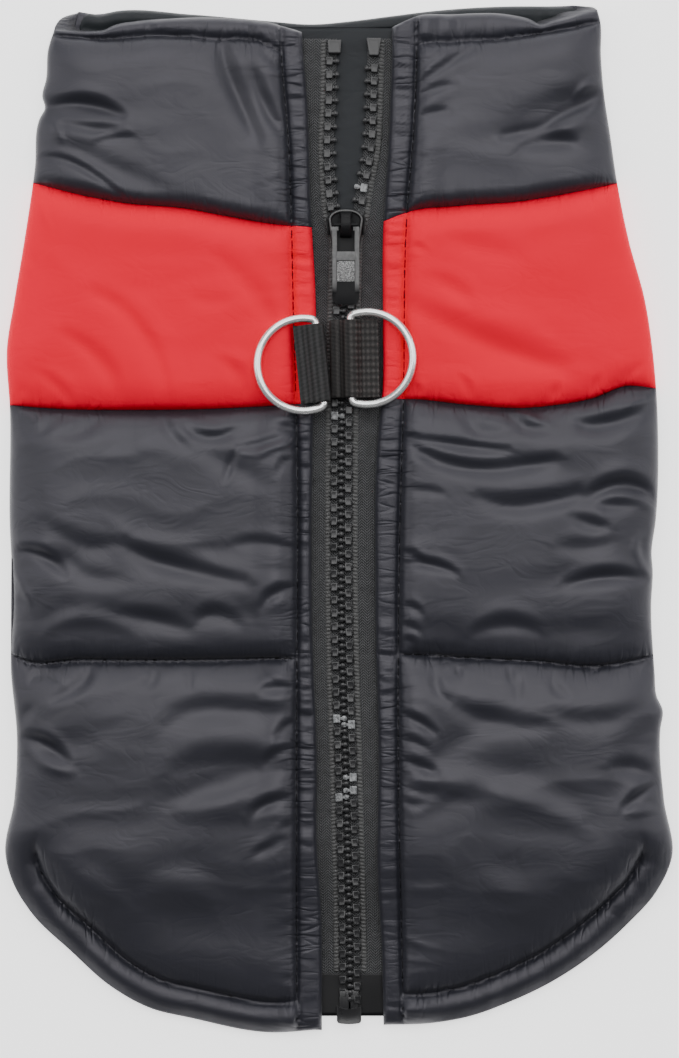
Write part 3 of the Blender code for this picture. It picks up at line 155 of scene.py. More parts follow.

# %% [markdown]
# ## Small creases, placed one by one
# Thin nylon over wadding shows short, sharp creases beside the wide folds. Noise could stand for them,
# but the eye finds the real ones: the star at the collar's left side, the curved troughs under the
# right yoke, the short ones that run out from the stitching. Each row is a bent line through three
# points, with the crease's width and depth.

# %% The table of creases: start, middle, end, width, depth
CREASES = table("""-73.9 107.5 -65.3 108.1 -56.5 104.7 2 -1.6, -71 102.9 -62.5 101.3 -56.5 101.8 1.8 -1.2,
    -61.9 98.2 -57.5 99 -53.1 99 1.6 -0.8, -73.9 103.6 -73.1 101 -71.6 98.4 1.3 0.8,
    -78.8 93.5 -69.2 92.7 -55.7 83.6 1.3 -1, -30 123.9 -28.2 114.8 -20.9 99 2.2 -1.2,
    -21.4 115.3 -18.6 107 -14.7 100.3 1.8 -1, -20.9 122.6 -18.3 120.5 -15.7 117.7 1.6 -0.8,
    20.6 112.7 29 119 36.2 122.9 1.7 -1, 20.4 116.4 23.8 119 27.9 121.6 1.4 -0.6,
    20.1 109.1 24.8 111.7 30.3 112.7 1.5 -0.7, 19.9 103.9 23.8 105.5 28.4 106 1.4 -0.5,
    61.4 109.9 64.8 112.7 68.7 113.8 1.4 0.9, 67.7 110.9 56.5 103.6 43 99.7 2.2 -1.5,
    56 102.6 59.6 104.4 63.2 106 1.5 0.7, 48.2 96.9 54.2 98.7 60.9 97.7 2.6 -1.4,
    -40.2 24.5 -33.5 21.4 -27.3 23.2 1.8 -1, -11.9 22.7 -18.6 19.9 -25.8 18.9 1.5 -1.2,
    -26 18.9 -27.8 14.8 -29.4 10.1 1.1 -0.8, -45.8 27.1 -43.2 22 -39.1 18.4 2 -0.7,
    -81.2 25 -78.2 22.7 -73 26.6 1.8 -0.6, -72 22 -67.4 22.7 -62.8 25.5 2.4 -0.8,
    -59.2 19.4 -55.6 21.4 -52 22.5 3.6 -0.5, -19.6 15.8 -17.3 17.1 -15 17.8 1.5 -0.5,
    -16 11.7 -14.5 14.3 -12.4 15.8 1.4 -0.6, -55.1 -6.8 -43.8 -11.9 -24.8 -16 3 -1.6,
    -75.6 -1.2 -65.3 -6.8 -57.1 -5.3 3 -0.7, -84.8 -8.3 -77.7 -8.9 -71 -14 1.8 -1.6,
    -74.6 -8.3 -66.4 -14 -57.1 -15.5 3 -0.6, -84.8 -12.5 -82.3 -16.6 -79.7 -21.7 1.2 0.8,
    -83.8 -19.6 -82.5 -21.2 -81.2 -22.7 2 -0.8, -75.6 -28.4 -65.8 -25.3 -54 -28.4 2.6 0.7,
    -55.1 -24.3 -46.8 -26.3 -38.6 -28.4 2.6 -0.9, -36.1 -26.8 -32.5 -24.5 -26.3 -26.8 2.4 -0.9,
    -19.6 -22.7 -16.5 -19.1 -10.9 -17.6 1.9 -1.3, -26.8 -6.3 -20.1 -6 -14 -6.8 2 -0.6,
    -16 24.5 -13.5 24 -10.9 24 1.5 -0.7, 16.9 22.1 28.7 19.5 44 18 1.6 -1.1,
    17.4 21 32.8 13.4 55.8 15.4 2.6 -1.8, 62.4 25.1 69.6 24.6 81.4 29.2 2.8 -1.8,
    74.2 29.2 77.3 30.3 80.9 31.3 1.3 0.7, 44 27.7 48.1 24.1 53.2 23.1 2.2 -1.2,
    45.6 28.7 49.6 26.7 54.3 25.1 1.6 0.6, 32.8 27.7 36.8 23.1 44 23.1 2.8 -1,
    36.8 5.7 48.1 3.4 61.9 6.7 2.8 -1.2, 66.5 7.2 75.2 9.5 82.4 4.7 2.4 -1.6,
    67.6 5.4 76.3 6.2 81.9 2.6 1.6 0.7, 68.1 3.6 72.7 3.4 77.3 3.6 2 -0.9,
    60.9 0.6 65 -1.2 69.1 -2 2.4 -1.3, 57.8 -7.1 64.5 -7.4 70.6 -6.1 3 -0.7,
    59.4 -16.8 69.6 -14.8 79.8 -15.3 2.2 -1.5, 78.8 -3.5 77.3 -8.1 81.4 -14.8 1.3 0.9,
    16.9 -11.7 23.5 -11.5 30.2 -13.8 1.6 -1.3, 16.4 -8.6 19.4 -9.2 22 -10.7 1.3 -0.8,
    17.4 7.7 22.5 7.5 27.1 6.7 1.5 -0.5, 16.9 -22.5 19.2 -22.7 21.5 -24.5 1.3 -0.8,
    16.4 -27.6 18.7 -27.8 21 -29.1 1.3 -0.7, 16.4 -31.2 18.4 -31.4 20 -32.2 1.3 -0.6,
    35.8 -29.1 43.5 -27.1 50.7 -28.6 2.6 -1, -64.1 -37 -66.7 -42.3 -74.1 -46.5 2 -0.9,
    -80 -41.8 -77.3 -40.1 -73.6 -41.8 1.5 -0.8, -46.6 -37.5 -48.2 -41.2 -50.8 -43.4 1.9 -0.6,
    -38.9 -37 -38.7 -40.7 -38.6 -44.4 1.1 -0.4, -20.6 -37 -19.5 -39.7 -16.9 -41.2 1.3 -0.6,
    -19.5 -44.4 -16.4 -43.6 -11.6 -43.9 2 -1.4, -44.5 -53.4 -32.3 -49.2 -16.4 -50.3 4.2 -1,
    -82.6 -56.6 -76.8 -57.7 -71 -62.2 2 -1.6, -82.1 -58.7 -76.3 -63 -69.4 -65.1 2 1,
    -79.4 -48.7 -81 -50.3 -81.6 -52.4 2 -0.8, -15.8 -57.1 -14 -54.2 -11.1 -52.4 1.7 -1.1,
    -18.5 -63 -15.8 -60.3 -11.6 -59.3 1.7 -1, -41.3 -65.1 -27 -63 -12.7 -65.1 4.6 -1.2,
    -40.2 -75.2 -28 -73 -11.6 -66.2 4.2 1.4, -22.2 -76.8 -18.5 -73.6 -12.1 -72 1.8 -1.2,
    -14.8 -79.9 -13.2 -79.5 -11.6 -79.4 1.3 -0.6, -20.6 -86.3 -17.4 -84.2 -13.7 -83.1 1.6 -0.6,
    24.9 -39.8 25.8 -43.6 28.2 -47 1.8 -0.7, 30.6 -38.3 31.1 -39.3 32 -40.7 1.2 -0.6,
    44.5 -38.3 44.7 -40.3 45.2 -42.2 1.2 -0.6, 46.9 -40.7 46.6 -43.6 46.4 -46.5 1.6 -0.5,
    55.5 -40.3 56.5 -43.6 58.9 -45.5 1.8 -0.6, 29.2 -47 39.2 -52.2 53.1 -53.4 3.4 -1.2,
    55.5 -50.3 68.4 -52.2 81.8 -47 3.4 -0.9, 16.2 -50.3 20.1 -52 24.9 -55.1 1.6 -1.1,
    16.7 -57 19.6 -57.7 23 -59.4 1.6 -0.9, 16.2 -61.8 20.6 -63.7 25.3 -65.6 1.8 -1.1,
    26.8 -67.5 44.5 -71.4 61.2 -78.1 4.4 1.2, 17.7 -69 21.5 -70.7 26.3 -69.5 2.8 -1,
    71.8 -64.2 77 -64.7 81.8 -66.6 2.8 -1.2, 74.2 -74.7 78.5 -71.1 84.7 -67.5 1.6 -1.2,
    74.6 -76.2 78 -75.4 81.8 -75.2 1.6 0.7, 16.7 -72.8 19.6 -73.8 22.5 -73.3 1.6 -0.7,
    -73.2 -87.5 -66.1 -93.5 -57.3 -98.4 4.6 0.8, -49.7 -96.8 -39.8 -95.1 -33.8 -98.4 4.6 0.8,
    -35.4 -125.2 -35.2 -128.5 -35.4 -132.3 1.2 -0.9, -22.3 -86.9 -19.6 -85.8 -16.9 -84.8 1.6 -0.5,
    36.5 -90.5 43 -96 50.4 -96 5 0.5, -63.3 59 -50.9 48.3 -44.3 30.3 2.9 -1,
    -71 48.3 -61.2 40.6 -57.6 31.3 2.7 -0.8, -77.7 38 -72.5 34.4 -69.9 30.3 1.8 -0.7,
    -82.3 35.4 -81.7 33.9 -81.2 32.3 1.4 -0.5, -30.4 67.8 -22.7 59.6 -16 50.3 3.6 -0.8,
    -29.9 41.1 -25.8 37 -24.8 30.3 2.3 -0.9, -79.2 86.3 -76.9 80.1 -74.5 75.5 1.2 0.5,
    -82.3 67.3 -81 65.7 -79.4 63.9 1.4 0.5, -38.6 58.5 -32.5 56.5 -27.3 57.5 3 -0.4,
    24.9 62.7 29.7 60 34 56.4 2.8 -0.7, 19.6 55.2 37.3 46.4 57.9 39.2 4.2 -1.5,
    56.5 34.9 56.2 33.2 55.5 31.6 1.4 -0.7, 67.5 37.1 66.8 35.4 65.6 33.5 1.4 -0.6,
    79 41.1 77 39 74.6 36.8 1.6 -0.8, 31.1 37.3 33.2 34.9 34 31.6 1.5 -0.6,
    29.7 71.8 38.3 70.3 46.9 67.9 3.8 -0.5, 19.1 70.8 21 70.4 23 69.6 1.3 -0.5,
    19.6 35.4 20.6 33.9 21.3 32.3 1.2 -0.5""")
print(len(CREASES), "creases and", len(FOLDS), "folds")

# %% [markdown]
# ## Curves
# The tables hold few points, so a smooth curve runs through each. Blender's own curves would give one
# too, but this one can be asked for its value anywhere.

# %% Curves through tables
def follow(table, where):
    """The second column of a table at each value of its first, on a smooth curve."""
    rows = np.array(sorted(table), dtype=float)
    knots, values = rows[:, 0], rows[:, 1]
    slopes = np.gradient(values, knots)
    where = np.clip(np.asarray(where, dtype=float), knots[0], knots[-1])
    k = np.clip(np.searchsorted(knots, where) - 1, 0, len(knots) - 2)
    step = knots[k + 1] - knots[k]
    u = (where - knots[k]) / step
    start = values[k] * (1 + 2 * u) * (1 - u) ** 2 + values[k + 1] * u * u * (3 - 2 * u)
    return start + step * (slopes[k] * u * (1 - u) ** 2 + slopes[k + 1] * u * u * (u - 1))


def pair(x, y):
    return np.stack([x, y], axis=1)


def lengths_along(path):
    return np.concatenate([[0.0], np.cumsum(np.linalg.norm(np.diff(path, axis=0), axis=1))])


def dense_path(points, steps=12):
    """A smooth path through the points, close enough together to measure along."""
    points = np.array(points, dtype=float)
    length = lengths_along(points)
    fine = np.concatenate([np.linspace(a, b, steps, endpoint=False) for a, b in zip(length, length[1:])])
    fine = np.append(fine, length[-1])
    return np.stack([follow(list(zip(length, column)), fine) for column in points.T], axis=1)


def walk(path, fractions):
    """Points at the given fractions of a path's length."""
    length = lengths_along(path)
    at = np.asarray(fractions) * length[-1]
    return np.stack([np.interp(at, length, column) for column in path.T], axis=1)


def chain_side(side, y):
    """Inner side of a row of teeth."""
    return follow(CHAIN_MIDDLE, y) + side * np.maximum(follow(CHAIN_OPENING, y), SEAM_GAP / 2)


PATHS = {side: dense_path(OUTLINE[side]) for side in (LEFT, RIGHT)}


def from_line(line, points):
    """Offsets of points from each stretch of a line, their share along it, and its run."""
    run = np.diff(line, axis=0)
    rel = points[:, None] - line[:-1][None]
    along = np.clip((rel * run).sum(-1) / (run * run).sum(-1), 0.0, 1.0)
    return rel - along[..., None] * run, along, run


def by_chunks(measure, x, y):
    """Measures plan points some thousands at a time, to spare memory."""
    points = pair(np.ravel(x), np.ravel(y))
    chunks = np.array_split(points, max(1, len(points) // 4000))
    return np.concatenate([measure(chunk) for chunk in chunks])


def edge_distance(side, x, y):
    """Distance of plan points from the outline of their side."""
    return by_chunks(lambda points: np.linalg.norm(from_line(PATHS[side], points)[0], axis=-1).min(axis=1),
                     x, y).reshape(np.shape(x))


def nearest_along(path, x, y):
    """Number of the path's point that is nearest to each plan point."""
    return by_chunks(lambda points: np.argmin(np.linalg.norm(points[:, None] - path[None], axis=-1), axis=1),
                     x, y)


def stitch_x(side, y):
    return follow(PLACKET_STITCH[side], y)


def side_height(side, y):
    """x of the side outline at y."""
    path = PATHS[side]
    upper = path[path[:, 1] > -88.0]
    return np.interp(y, upper[::-1, 1], upper[::-1, 0])


# %% [markdown]
# ## The height of the cloth
# Seen from above the coat is a height at every place of its plan: what the wall lies on, the wadding
# that rises from each stitched line, the folds, the creases, and an unevenness that no table can hold.
# That last part is a smooth noise with a seed, so it is the same each time.

# %% Steps, rounds and seeded unevenness
def smooth_step(value):
    value = np.clip(value, 0.0, 1.0)
    return value * value * (3 - 2 * value)


def rise(distance, width):
    """Quarter round: 0 at a stitched line, 1 from the given width on."""
    return np.sqrt(1 - (1 - np.clip(distance / width, 0.0, 1.0)) ** 2)


def ripple(where, cell, seed):
    """Smooth unevenness along a line, from -1 to 1, with one free value every cell."""
    values = np.random.default_rng(seed).uniform(-1, 1, 1024)
    at = np.asarray(where, dtype=float) / cell + 512
    k = np.floor(at).astype(int)
    u = smooth_step(at - k)
    return values[k % 1024] * (1 - u) + values[(k + 1) % 1024] * u


def rumple(x, y, cell_x, cell_y, seed):
    """Smooth unevenness over an area, from -1 to 1."""
    values = np.random.default_rng(seed).uniform(-1, 1, (128, 128))
    at_x, at_y = x / cell_x + 64, y / cell_y + 64
    i, j = np.floor(at_x).astype(int), np.floor(at_y).astype(int)
    u, v = smooth_step(at_x - i), smooth_step(at_y - j)
    i, j = i % 128, j % 128
    after_i, after_j = (i + 1) % 128, (j + 1) % 128
    low = values[i, j] * (1 - u) + values[after_i, j] * u
    high = values[i, after_j] * (1 - u) + values[after_i, after_j] * u
    return low * (1 - v) + high * v


# %% Folds and creases
def folds_at(x, y):
    total = np.zeros_like(x)
    for middle_x, middle_y, angle, length, width, depth in FOLDS:
        turn = math.radians(angle)
        run = (x - middle_x) * math.cos(turn) + (y - middle_y) * math.sin(turn)
        off = (y - middle_y) * math.cos(turn) - (x - middle_x) * math.sin(turn)
        total += depth * np.exp(-(run / length) ** 2 - (off / width) ** 2)
    return total


CREASE_STEPS = 14
CREASE_SHARP = 0.82         # creases are this much narrower than they look from afar
CREASE_DEPTH = 0.80         # share of the depths in the table that the cloth takes
CREASE_LIP = 0.42           # share of a crease's depth that piles up beside it
MAIN_FOLD_SHARE = 0.54      # the wide folds, beside the creases that lie in them


def creases_at(x, y):
    """Narrow troughs along bent lines, deepest in their middle, with a soft lip beside them."""
    total = np.zeros_like(x)
    u = np.linspace(0, 1, CREASE_STEPS)[:, None]
    for *places, width, depth in CREASES:
        ends = np.array(places).reshape(3, 2)
        control = 2 * ends[1] - (ends[0] + ends[2]) / 2
        line = (1 - u) ** 2 * ends[0] + 2 * u * (1 - u) * control + u * u * ends[2]
        reach = width * 3.5
        near = ((x > line[:, 0].min() - reach) & (x < line[:, 0].max() + reach)
                & (y > line[:, 1].min() - reach) & (y < line[:, 1].max() + reach))
        if not near.any():
            continue
        away, part, run = from_line(line, pair(x[near], y[near]))
        far = np.linalg.norm(away, axis=-1)
        best = far.argmin(axis=1)
        every = np.arange(len(best))
        far = far[every, best]
        along = (best + part[every, best]) / (CREASE_STEPS - 1)
        way = np.sign(run[best, 0] * away[every, best, 1] - run[best, 1] * away[every, best, 0])
        taper = np.sin(math.pi * np.clip(0.08 + 0.84 * along, 0, 1)) ** 0.8
        width = CREASE_SHARP * width * (0.55 + 0.45 * taper)
        trough = np.exp(-(far / width) ** 2)
        lip = CREASE_LIP * np.exp(-((far - 1.7 * width) / (1.1 * width)) ** 2) * (way > 0)
        total[near] += depth * taper * (trough - lip)
    return total


# %% [markdown]
# A line of stitches gathers the cloth: beside it stand small slanting puckers that fade within a few
# millimetres. They are a wave along the line whose strength falls with the distance.

# %% Puckers beside a stitched line
def gathers(along, away, cell, reach, depth, seed):
    slant = 0.5 * ripple(along, 11.0, seed) * away
    wave = ripple(along + slant, cell, seed + 1)
    strong = np.clip(0.55 + 0.75 * ripple(along, cell * 4.5, seed + 2), 0.05, 1.2)
    fade = reach * (0.75 + 0.55 * ripple(along, cell * 2.5, seed + 3))
    return depth * wave * strong * np.exp(-away / fade) * smooth_step(away / 0.7)


def tail(y):
    """0 over the belly panel, 1 on the tail that lies on the table."""
    return smooth_step((TAIL_START - y) / (TAIL_START - TAIL_END))


def ground(y):
    """Height of what is under the near wall."""
    return (BELLY_TOP + LAYER_CLEAR) * (1 - tail(y))


def from_zip(side, x, y):
    return side * (x - follow(ZIP_EDGE[side], y))


def lying(side, x, y):
    """Height that the near wall lies at, raised beside the zip."""
    return ground(y) + ZIP_LIFT * (1 - smooth_step((from_zip(side, x, y) - 7.0) / 9.0))


def crack_at(away, reach=1.0):
    """Strength of the narrow groove that a sewn line pulls into the cloth."""
    return reach * np.exp(-(away / CRACK_WIDTH) ** 1.5)


def hem_margin_share(y):
    return smooth_step((-80.0 - y) / 10.0)


# %% The wall of a padded panel
PANEL_LINES = {"collar": (COLLAR_SEAM,), "yoke": (COLLAR_SEAM, YOKE_SEAM),
               "upper": (YOKE_SEAM, QUILT_LINE), "lower": (QUILT_LINE,)}
GATHER_DEPTH = {"collar": 0.40, "yoke": 0.30, "upper": 0.48, "lower": 0.55}
RUMPLE_DEPTH = {"collar": 0.55, "yoke": 0.6, "upper": 0.60, "lower": 0.65}


def unevenness(x, y, seed):
    """Wide soft hollows of the wadding, and shallow wrinkles that lie mostly across the coat."""
    warp_x = x + 5.0 * rumple(x, y, 19.0, 15.0, seed + 1)
    warp_y = y + 4.0 * rumple(x, y, 21.0, 13.0, seed + 2)
    wide = 0.62 * rumple(warp_x, warp_y, 25.0, 16.0, seed + 3)
    crumple = 0.35 * (0.5 - np.abs(rumple(warp_x, warp_y, 21.0, 9.0, seed + 4))) * 1.6
    fine = 0.10 * rumple(warp_x, warp_y, 7.0, 3.4, seed + 5)
    return wide + crumple + fine


def wall(side, panel, x, y):
    """Thickness of the padded near wall, from its lining to its outer cloth."""
    seed = 100 + 40 * side
    beside = from_zip(side, x, y)
    band = side * (stitch_x(side, y) - follow(ZIP_EDGE[side], y))
    past_band = np.clip(beside - band, 0, None)
    across = np.clip(beside / band, 0.0, 1.0)
    from_stitch = (1 - across) * band
    placket = STITCH_WALL - SEAM_CRACK + 2.1 * rise(from_stitch, 2.0) + 0.25 * np.sin(math.pi * across)
    smile = y + side * 0.5 * across - 1.5 * (across - 0.5) ** 2
    pucker = 0.22 * ripple(smile, 1.35, seed + 11)
    pucker = pucker - 2.4 * np.clip(0.32 - np.abs(ripple(smile, 2.7, seed + 12)), 0, 1)
    strong = np.clip(0.6 + 0.7 * ripple(y, 13.0, seed + 13), 0.1, 1.2)
    placket = placket + pucker * strong * np.sin(math.pi * np.clip(across * 0.94 + 0.03, 0, 1)) ** 0.5
    puff, line_width, placket_width = PUFFS[panel]
    body = puff * rise(beside - band, placket_width)
    press = np.ones_like(x)
    crack = crack_at(past_band)
    small = gathers(y, past_band, 1.9, 4.2, GATHER_DEPTH[panel], seed + 20)
    for number, line in enumerate(PANEL_LINES[panel]):
        away = np.abs(y - follow(line, x))
        under = np.where(y < follow(line, x), 1.5, 1.0)     # below a seam the wadding rises more gently
        press = press * rise(away, line_width) ** under
        crack = np.maximum(crack, crack_at(away, 0.55))
        small = small + gathers(x, away, 2.2, 4.0, GATHER_DEPTH[panel], seed + 24 + 4 * number)
    roll = np.zeros_like(x)
    if panel == "collar":
        seam = follow(COLLAR_MARGIN_SEAM, x)
        below = seam - y
        press = press * rise(below, 9.0)
        crack = np.maximum(crack, crack_at(np.abs(below)))
        width = np.maximum(follow(NEAR_COLLAR_TOP, x) - seam, 0.8)
        inside = np.clip(-below / width, 0.0, 1.0)
        pleats = 1.0 + 0.30 * ripple(x, 2.6, seed + 33) * np.clip(0.6 + ripple(x, 12.0, seed + 34), 0, 1.4)
        roll = 1.5 * np.sin(math.pi * np.clip(inside, 0, 0.93)) ** 0.6 * pleats
        small = small + gathers(x, np.clip(below, 0, None), 2.4, 4.0, 0.34, seed + 36)
    if panel == "lower":
        edge = edge_distance(side, x, y)
        low = hem_margin_share(y)
        press = press * (1 - low + low * rise(edge - HEM_MARGIN, 13.0))
        inside = np.clip(edge / HEM_MARGIN, 0.0, 1.0)
        place = nearest_along(PATHS[side], x, y).reshape(x.shape)
        run = lengths_along(PATHS[side])[place]
        uneven = 1.0 + 0.10 * ripple(run, 3.1, seed + 43) + 0.08 * ripple(run, 9.0, seed + 44)
        roll = low * 2.2 * np.sin(math.pi * inside) ** 0.7 * uneven
        small = small + low * gathers(run, np.clip(edge - HEM_MARGIN, 0, None), 2.4, 3.5, 0.22, seed + 46)
        crack = np.maximum(crack, crack_at(np.abs(edge - HEM_MARGIN), low))
    soft = MAIN_FOLD_SHARE * folds_at(x, y) * smooth_step(press * 1.3)
    sharp = CREASE_DEPTH * creases_at(x, y) * smooth_step(press * 2.2)
    loose = RUMPLE_DEPTH[panel] * unevenness(x, y, seed + 60) * smooth_step(press * 1.5)
    main = STITCH_WALL - SEAM_CRACK * crack + body * press + roll + soft + sharp + loose + small
    pinch = 0.45 + 0.55 * press
    return np.maximum(np.where(across < 1.0, placket * (0.72 + 0.28 * pinch), main), 1.5)


# %% [markdown]
# At the outline the cloth turns over the side fold, so its height falls in a quarter round to the
# fold's widest point. The placket's edge beside the zip is round as well.

# %% The outer face
PLACKET_EDGE_ROUND = 1.5


def near_outer(side, panel, x, y):
    """Height of the outer cloth over the table."""
    thick = wall(side, panel, x, y)
    fold = rise(np.clip(from_zip(side, x, y) + 0.05, 0, None), PLACKET_EDGE_ROUND)
    full = lying(side, x, y) + 0.55 + (thick - 0.55) * (0.22 + 0.78 * fold)
    edge = edge_distance(side, x, y)
    down = tail(y)
    radius = FOLD_RADIUS + (HEM_RADIUS - FOLD_RADIUS) * down
    middle = FOLD_MIDDLE + (HEM_MIDDLE - FOLD_MIDDLE) * down
    return middle + (full - middle) * rise(edge, radius)


# %% [markdown]
# ## Sheets of points
# Each panel is a grid of points between four edge lines, so its rows follow the seams and its columns
# follow the zip and the outline. The steps are small beside a stitched line, where cloth bends sharply.

# %% Grids
EDGE_STEP, MIDDLE_STEP = ((0.45, 0.72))


def steps_along(length):
    """Fractions of a length, closer together near its two ends."""
    places = [0.0]
    while places[-1] < length:
        from_end = min(places[-1], length - places[-1])
        places.append(places[-1] + EDGE_STEP + (MIDDLE_STEP - EDGE_STEP) * min(1.0, from_end / 6.0))
    return np.array(places) / places[-1]


def even_out(fractions, count):
    """The same spread of fractions with a different number of them."""
    return np.interp(np.linspace(0, 1, count), np.linspace(0, 1, len(fractions)), fractions)


def arc_fractions(line):
    length = lengths_along(line)
    return length / length[-1]


def patch(top, bottom, near, far):
    """Plan grid between four edge lines: rows run from the near line to the far one."""
    s, t = arc_fractions(top)[None, :, None], arc_fractions(far)[:, None, None]
    grid = (1 - t) * top[None] + t * bottom[None] + (1 - s) * near[:, None] + s * far[:, None]
    corners = (1 - t) * ((1 - s) * top[0] + s * top[-1]) + t * ((1 - s) * bottom[0] + s * bottom[-1])
    return grid - corners


PLACKET_PARTS = np.linspace(0, 1, 12)
COLUMNS = steps_along(PANEL_WIDTH)


def on_line(line, y):
    """Plan points on a line that runs down the coat."""
    return pair(follow(line, y), y)


def with_placket(side, main, drops=(0.0, 0.0)):
    """Adds the placket's columns in front of a grid; its lines drop by so much towards the stitches."""
    stitch = main[:, 0]
    edge = on_line(ZIP_EDGE[side], stitch[:, 1] + np.linspace(*drops, len(stitch)))
    part = PLACKET_PARTS[None, :-1, None]
    return np.concatenate([edge[:, None] * (1 - part) + stitch[:, None] * part, main], axis=1)


def seam_line(seam, start_x, end_x, shift):
    x = start_x + (end_x - start_x) * COLUMNS
    return pair(x, follow(seam, x) + shift)


def close_corners(top, bottom, near, far):
    near[0], near[-1], far[0], far[-1] = top[0], bottom[0], top[-1], bottom[-1]
    return patch(top, bottom, near, far)


def channel(side, top_seam, bottom_seam, top_shift, bottom_shift, row_count=None):
    """Plan grid of the near wall between two crossing lines, from the zip edge to the side outline."""
    ends = []
    for seam, shift in ((top_seam, top_shift), (bottom_seam, bottom_shift)):
        near_height = follow(seam, follow(ZIP_EDGE[side], 0.0))
        stitch_height = follow(seam, stitch_x(side, near_height))
        edge_height = follow(seam, follow(ZIP_EDGE[side], near_height))
        ends.append((stitch_height + shift, edge_height - stitch_height))
    (zip_top, top_drop), (zip_low, low_drop) = ends
    side_top = follow(top_seam, side * 90.0) + top_shift
    side_low = follow(bottom_seam, side * 90.0) + bottom_shift
    rows = steps_along(zip_top - zip_low)
    rows = even_out(rows, row_count or len(rows))
    far_y = side_top + (side_low - side_top) * rows
    near_y = zip_top + (zip_low - zip_top) * rows
    far = pair(side_height(side, far_y), far_y)
    near = on_line(PLACKET_STITCH[side], near_y)
    top = seam_line(top_seam, near[0, 0], far[0, 0], top_shift)
    bottom = seam_line(bottom_seam, near[-1, 0], far[-1, 0], bottom_shift)
    return with_placket(side, close_corners(top, bottom, near, far), (top_drop, low_drop))


HEM_CORNER = (74.5, -107.6)


def tail_channel(side):
    """Plan grid of the lower body, from the quilting line round to the hem."""
    path = PATHS[side]
    corner = int(np.argmin(np.linalg.norm(path - np.array([side * HEM_CORNER[0], HEM_CORNER[1]]), axis=1)))
    side_top = follow(QUILT_LINE, side * 90.0)
    first = int(np.argmin(np.abs(path[: len(path) // 2, 1] - side_top)))
    far_path = path[first:corner + 1]
    end = corner + int(np.argmin(np.abs(path[corner:, 0] - stitch_x(side, -132.0))))
    hem_path = path[corner:end + 1][::-1]
    zip_top, zip_low = follow(QUILT_LINE, stitch_x(side, -36.0)), hem_path[0, 1]
    rows = steps_along(zip_top - zip_low)
    near_y = zip_top + (zip_low - zip_top) * rows
    near = on_line(PLACKET_STITCH[side], near_y)
    far = walk(far_path, even_out(steps_along(lengths_along(far_path)[-1]), len(rows)))
    top = seam_line(QUILT_LINE, near[0, 0], far[0, 0], 0.0)
    bottom = walk(hem_path, COLUMNS)
    grid = with_placket(side, close_corners(top, bottom, near, far))
    grid[-1, :len(PLACKET_PARTS) - 1] = walk(path[end:], 1 - PLACKET_PARTS[:-1])
    return grid


# %% [markdown]
# ## From points to a closed wall
# A wall of cloth has an outer and an inner face with the same grid, joined round the border. It is made
# from lists of points and faces, because its form is a formula.

# %% Mesh helpers
def add_piece(name, points, faces, uv=None):
    """One object at the origin from points in millimetres, smooth, with its faces turned outwards."""
    mesh = bpy.data.meshes.new(name)
    mesh.from_pydata((np.asarray(points, dtype=float) * MM).tolist(), [], faces)
    work = bmesh.new()
    work.from_mesh(mesh)
    bmesh.ops.recalc_face_normals(work, faces=work.faces)
    work.to_mesh(mesh)
    work.free()
    mesh.shade_smooth()
    if uv is not None:
        corners = np.zeros(len(mesh.loops), dtype=np.int32)
        mesh.loops.foreach_get("vertex_index", corners)
        layer = mesh.uv_layers.new(name="cloth")
        layer.data.foreach_set("uv", (np.asarray(uv, dtype=float) * MM)[corners].ravel())
    thing = bpy.data.objects.new(name, mesh)
    bpy.context.scene.collection.objects.link(thing)
    return thing


def grid_cells(rows, columns):
    return [(r * columns + c, r * columns + c + 1, (r + 1) * columns + c + 1, (r + 1) * columns + c)
            for r in range(rows - 1) for c in range(columns - 1)]


def thick_sheet(name, cells, outer, inner, uv=None):
    """A wall from a sheet of cells with an outer and an inner point for each corner."""
    count = len(outer)
    faces = [tuple(cell) for cell in cells]
    faces += [tuple(corner + count for corner in reversed(cell)) for cell in cells]
    used = set()
    for cell in cells:
        used.update(zip(cell, cell[1:] + cell[:1]))
    faces += [(b, a, a + count, b + count) for a, b in used if (b, a) not in used]
    if uv is not None:
        uv = np.concatenate([uv, uv])
    return add_piece(name, np.concatenate([outer, inner]), faces, uv)


# %% [markdown]
# The side of each panel turns under the coat: a half round outside and a narrow fold inside. Then the
# cloth lies flat on the table up to the belly seam.

# %% The turn under the side
TURN_ANGLES = (14.0, 28.0, 42.0, 56.0, 70.0, 82.0)


def inward_normals(side, x, y):
    """Directions from the outline into the coat: level along the side, square to the hem."""
    path = PATHS[side]
    nearest = nearest_along(path, x, y)
    run = path[np.clip(nearest + 2, 0, len(path) - 1)] - path[np.clip(nearest - 2, 0, len(path) - 1)]
    run /= np.linalg.norm(run, axis=1)[:, None]
    square = pair(-run[:, 1], run[:, 0]) * -side
    share = smooth_step((-78.0 - np.ravel(y)) / 9.0)[:, None]
    inward = np.array([-float(side), 0.0]) * (1 - share) + square * share
    return inward / np.linalg.norm(inward, axis=1)[:, None]


def pull_in(side, points, inset):
    """Moves plan points near the outline inwards, by up to the inset."""
    edge = edge_distance(side, points[:, 0], points[:, 1])
    near = np.clip(1 - edge / 26.0, 0.0, 1.0)
    return points + inward_normals(side, points[:, 0], points[:, 1]) * (inset * near)[:, None]


